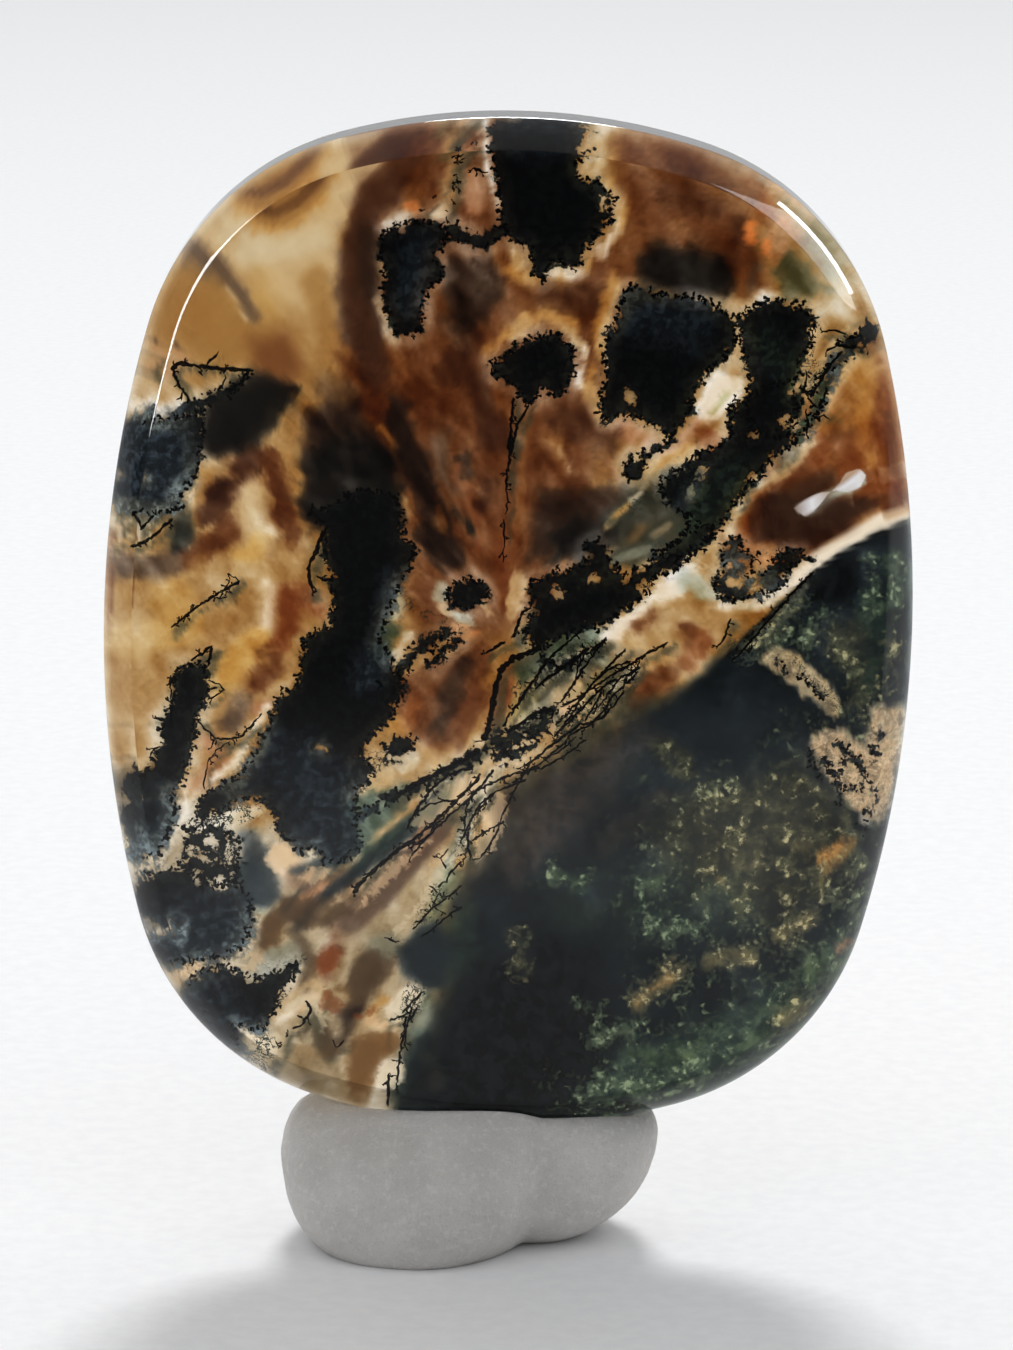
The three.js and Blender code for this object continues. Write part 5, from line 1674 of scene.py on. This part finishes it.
def puttyMaterial():
    graph = materialGraph("grey putty")
    place = graph.placeInMm()
    cloudy = graph.noise(place, 0.5, 4.0, 0.6)
    grit = graph.noise(place, 11.0, 4.0, 0.7)
    dimples = graph.noise(place, 3.2, 5.0, 0.6)
    colour = graph.mix(cloudy.between(0.3, 0.7), *putty["tones"])
    # painted highlight: where the bump's dimples rise, the putty is coloured lighter
    colour = graph.mix(dimples.between(0.5, 0.68) * 0.45, colour, putty["dimpleHighlight"])
    colour = graph.mix(grit.between(0.5, 0.78) * 0.55, colour, putty["gritTone"])
    height = dimples * 0.65 + grit * 0.35
    relief = graph.add("ShaderNodeBump", None, {"Strength": 0.9, "Distance": 0.2 * mm, "Height": height})
    return graph.principled({
        "Base Color": colour,
        "Roughness": grit.between(0.2, 0.8, 0.72, 0.92),
        "Specular IOR Level": 0.05,
        "Normal": relief,
    })


lump = makePutty()
cutGroove(lump)
smoothShade(lump)
lump.data.materials.clear()
lump.data.materials.append(puttyMaterial())
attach(lump, "root")
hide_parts("putty_rest")
print("putty pressed", len(lump.data.polygons), "faces")


studio = {
    "floorSize": 6.0,  # m
    "worldFront": 0.08,
    "worldBack": 0.66,
    "worldUp": 0.12,  # added overhead
    # Windows that only show as gloss: place m, width and height m, radiance
    "windows": [
        ((-0.31, -0.39, 0.13), (0.26, 0.22), 34.0),
        ((0.40, -0.24, 0.32), (0.50, 0.30), 7.0),
        ((0.50, -0.02, 0.36), (0.07, 0.30), 30.0),
    ],
    "keyFrom": (0.02, 0.75, 0.66),  # direction
    "keySpread": 16.0,  # degrees, softness of its shadows
    "keyStrength": 1.93,
    "frontFill": 0.55,  # light from above and in front
    "skyTint": (0.97, 0.985, 1.0, 1),
    "gazePoint": (0, 0, 0.025),  # m, where the windows look
    "floorTones": ((0.86, 0.86, 0.87, 1), (0.9, 0.9, 0.905, 1)),
    "nearShade": 0.06,  # the floor well in front, out of the picture
    "nearBand": (-45.0, -120.0),  # mm ahead, over which it comes in
    "farShade": 0.68,  # the floor far behind, against the floor near by
    "farBand": (60.0, 1100.0),  # mm away, over which it comes in
}


def makeFloor():
    half = studio["floorSize"] / 2
    mesh = bpy.data.meshes.new("floor")
    corners = [(x * half, y * half, 0) for x, y in ((-1, -1), (1, -1), (1, 1), (-1, 1))]
    mesh.from_pydata(corners, [], [(0, 1, 2, 3)])
    floor = placed("floor", mesh)
    graph = materialGraph("pale floor")
    place = graph.placeInMm()
    tooth = graph.noise(place, 1.2, 5.0, 0.6)
    colour = graph.mix(tooth.between(0.3, 0.7), *studio["floorTones"])
    reach = graph.add("ShaderNodeVectorMath", {"operation": "LENGTH"}, {0: place}, output="Value")
    far = studio["farShade"]
    colour = graph.mix(reach.between(*studio["farBand"]), colour, (far * 0.88, far * 0.88, far * 0.89, 1))
    near = studio["nearShade"]
    colour = graph.mix(graph.part(place, 1).between(*studio["nearBand"]), colour, (near, near, near, 1))
    mesh.materials.append(graph.principled({
        "Base Color": colour,
        "Roughness": tooth.between(0.0, 1.0, 0.85, 0.95),
        "Specular IOR Level": 0.1,
    }))


def makeLights():
    world = bpy.data.worlds.new("soft studio")
    bpy.context.scene.world = world
    sky = Graph(world)
    ray = sky.add("ShaderNodeTexCoord", output="Generated")
    behind = sky.part(ray, 1)
    above = sky.part(ray, 2)
    level = behind.between(-0.8, 0.8, studio["worldFront"], studio["worldBack"])
    level = level + above.between(0.12, 0.9, 0.0, studio["worldUp"])
    level = level + behind.between(0.6, -0.6) * above.between(0.2, 0.7, 0.0, studio["frontFill"])
    glow = sky.add("ShaderNodeBackground", None, {"Color": studio["skyTint"], "Strength": level})
    sky.add("ShaderNodeOutputWorld", None, {"Surface": glow})

    key = bpy.data.lights.new("key", "SUN")
    key.angle = math.radians(studio["keySpread"])
    key.energy = studio["keyStrength"]
    placed("key", key).rotation_euler = (-Vector(studio["keyFrom"])).to_track_quat("-Z", "Y").to_euler()
    for place, (width, height), radiance in studio["windows"]:
        pane = bpy.data.lights.new("window", "AREA")
        pane.shape = "RECTANGLE"
        pane.size = width
        pane.size_y = height
        pane.energy = 4 * width * height * radiance  # W for that radiance
        window = placed("window", pane)
        window.location = place
        gaze = Vector(studio["gazePoint"]) - window.location
        window.rotation_euler = gaze.to_track_quat("-Z", "Y").to_euler()
        window.visible_diffuse = False


def makeCamera():
    camera = bpy.data.cameras.new("camera")
    camera.sensor_width = view["sensor"]
    camera.lens = view["sensor"] * focalPixels / view["rows"]
    cameraObject = placed("camera", camera)
    cameraObject.location = Vector(cameraPlace * mm)
    axes = np.stack([cameraRight, cameraUp, -cameraForward], axis=1)
    cameraObject.rotation_euler = Matrix(axes.tolist()).to_euler()
    bpy.context.scene.camera = cameraObject


makeFloor()
makeLights()
makeCamera()
bpy.context.scene.view_settings.view_transform = "Standard"
print("studio ready")
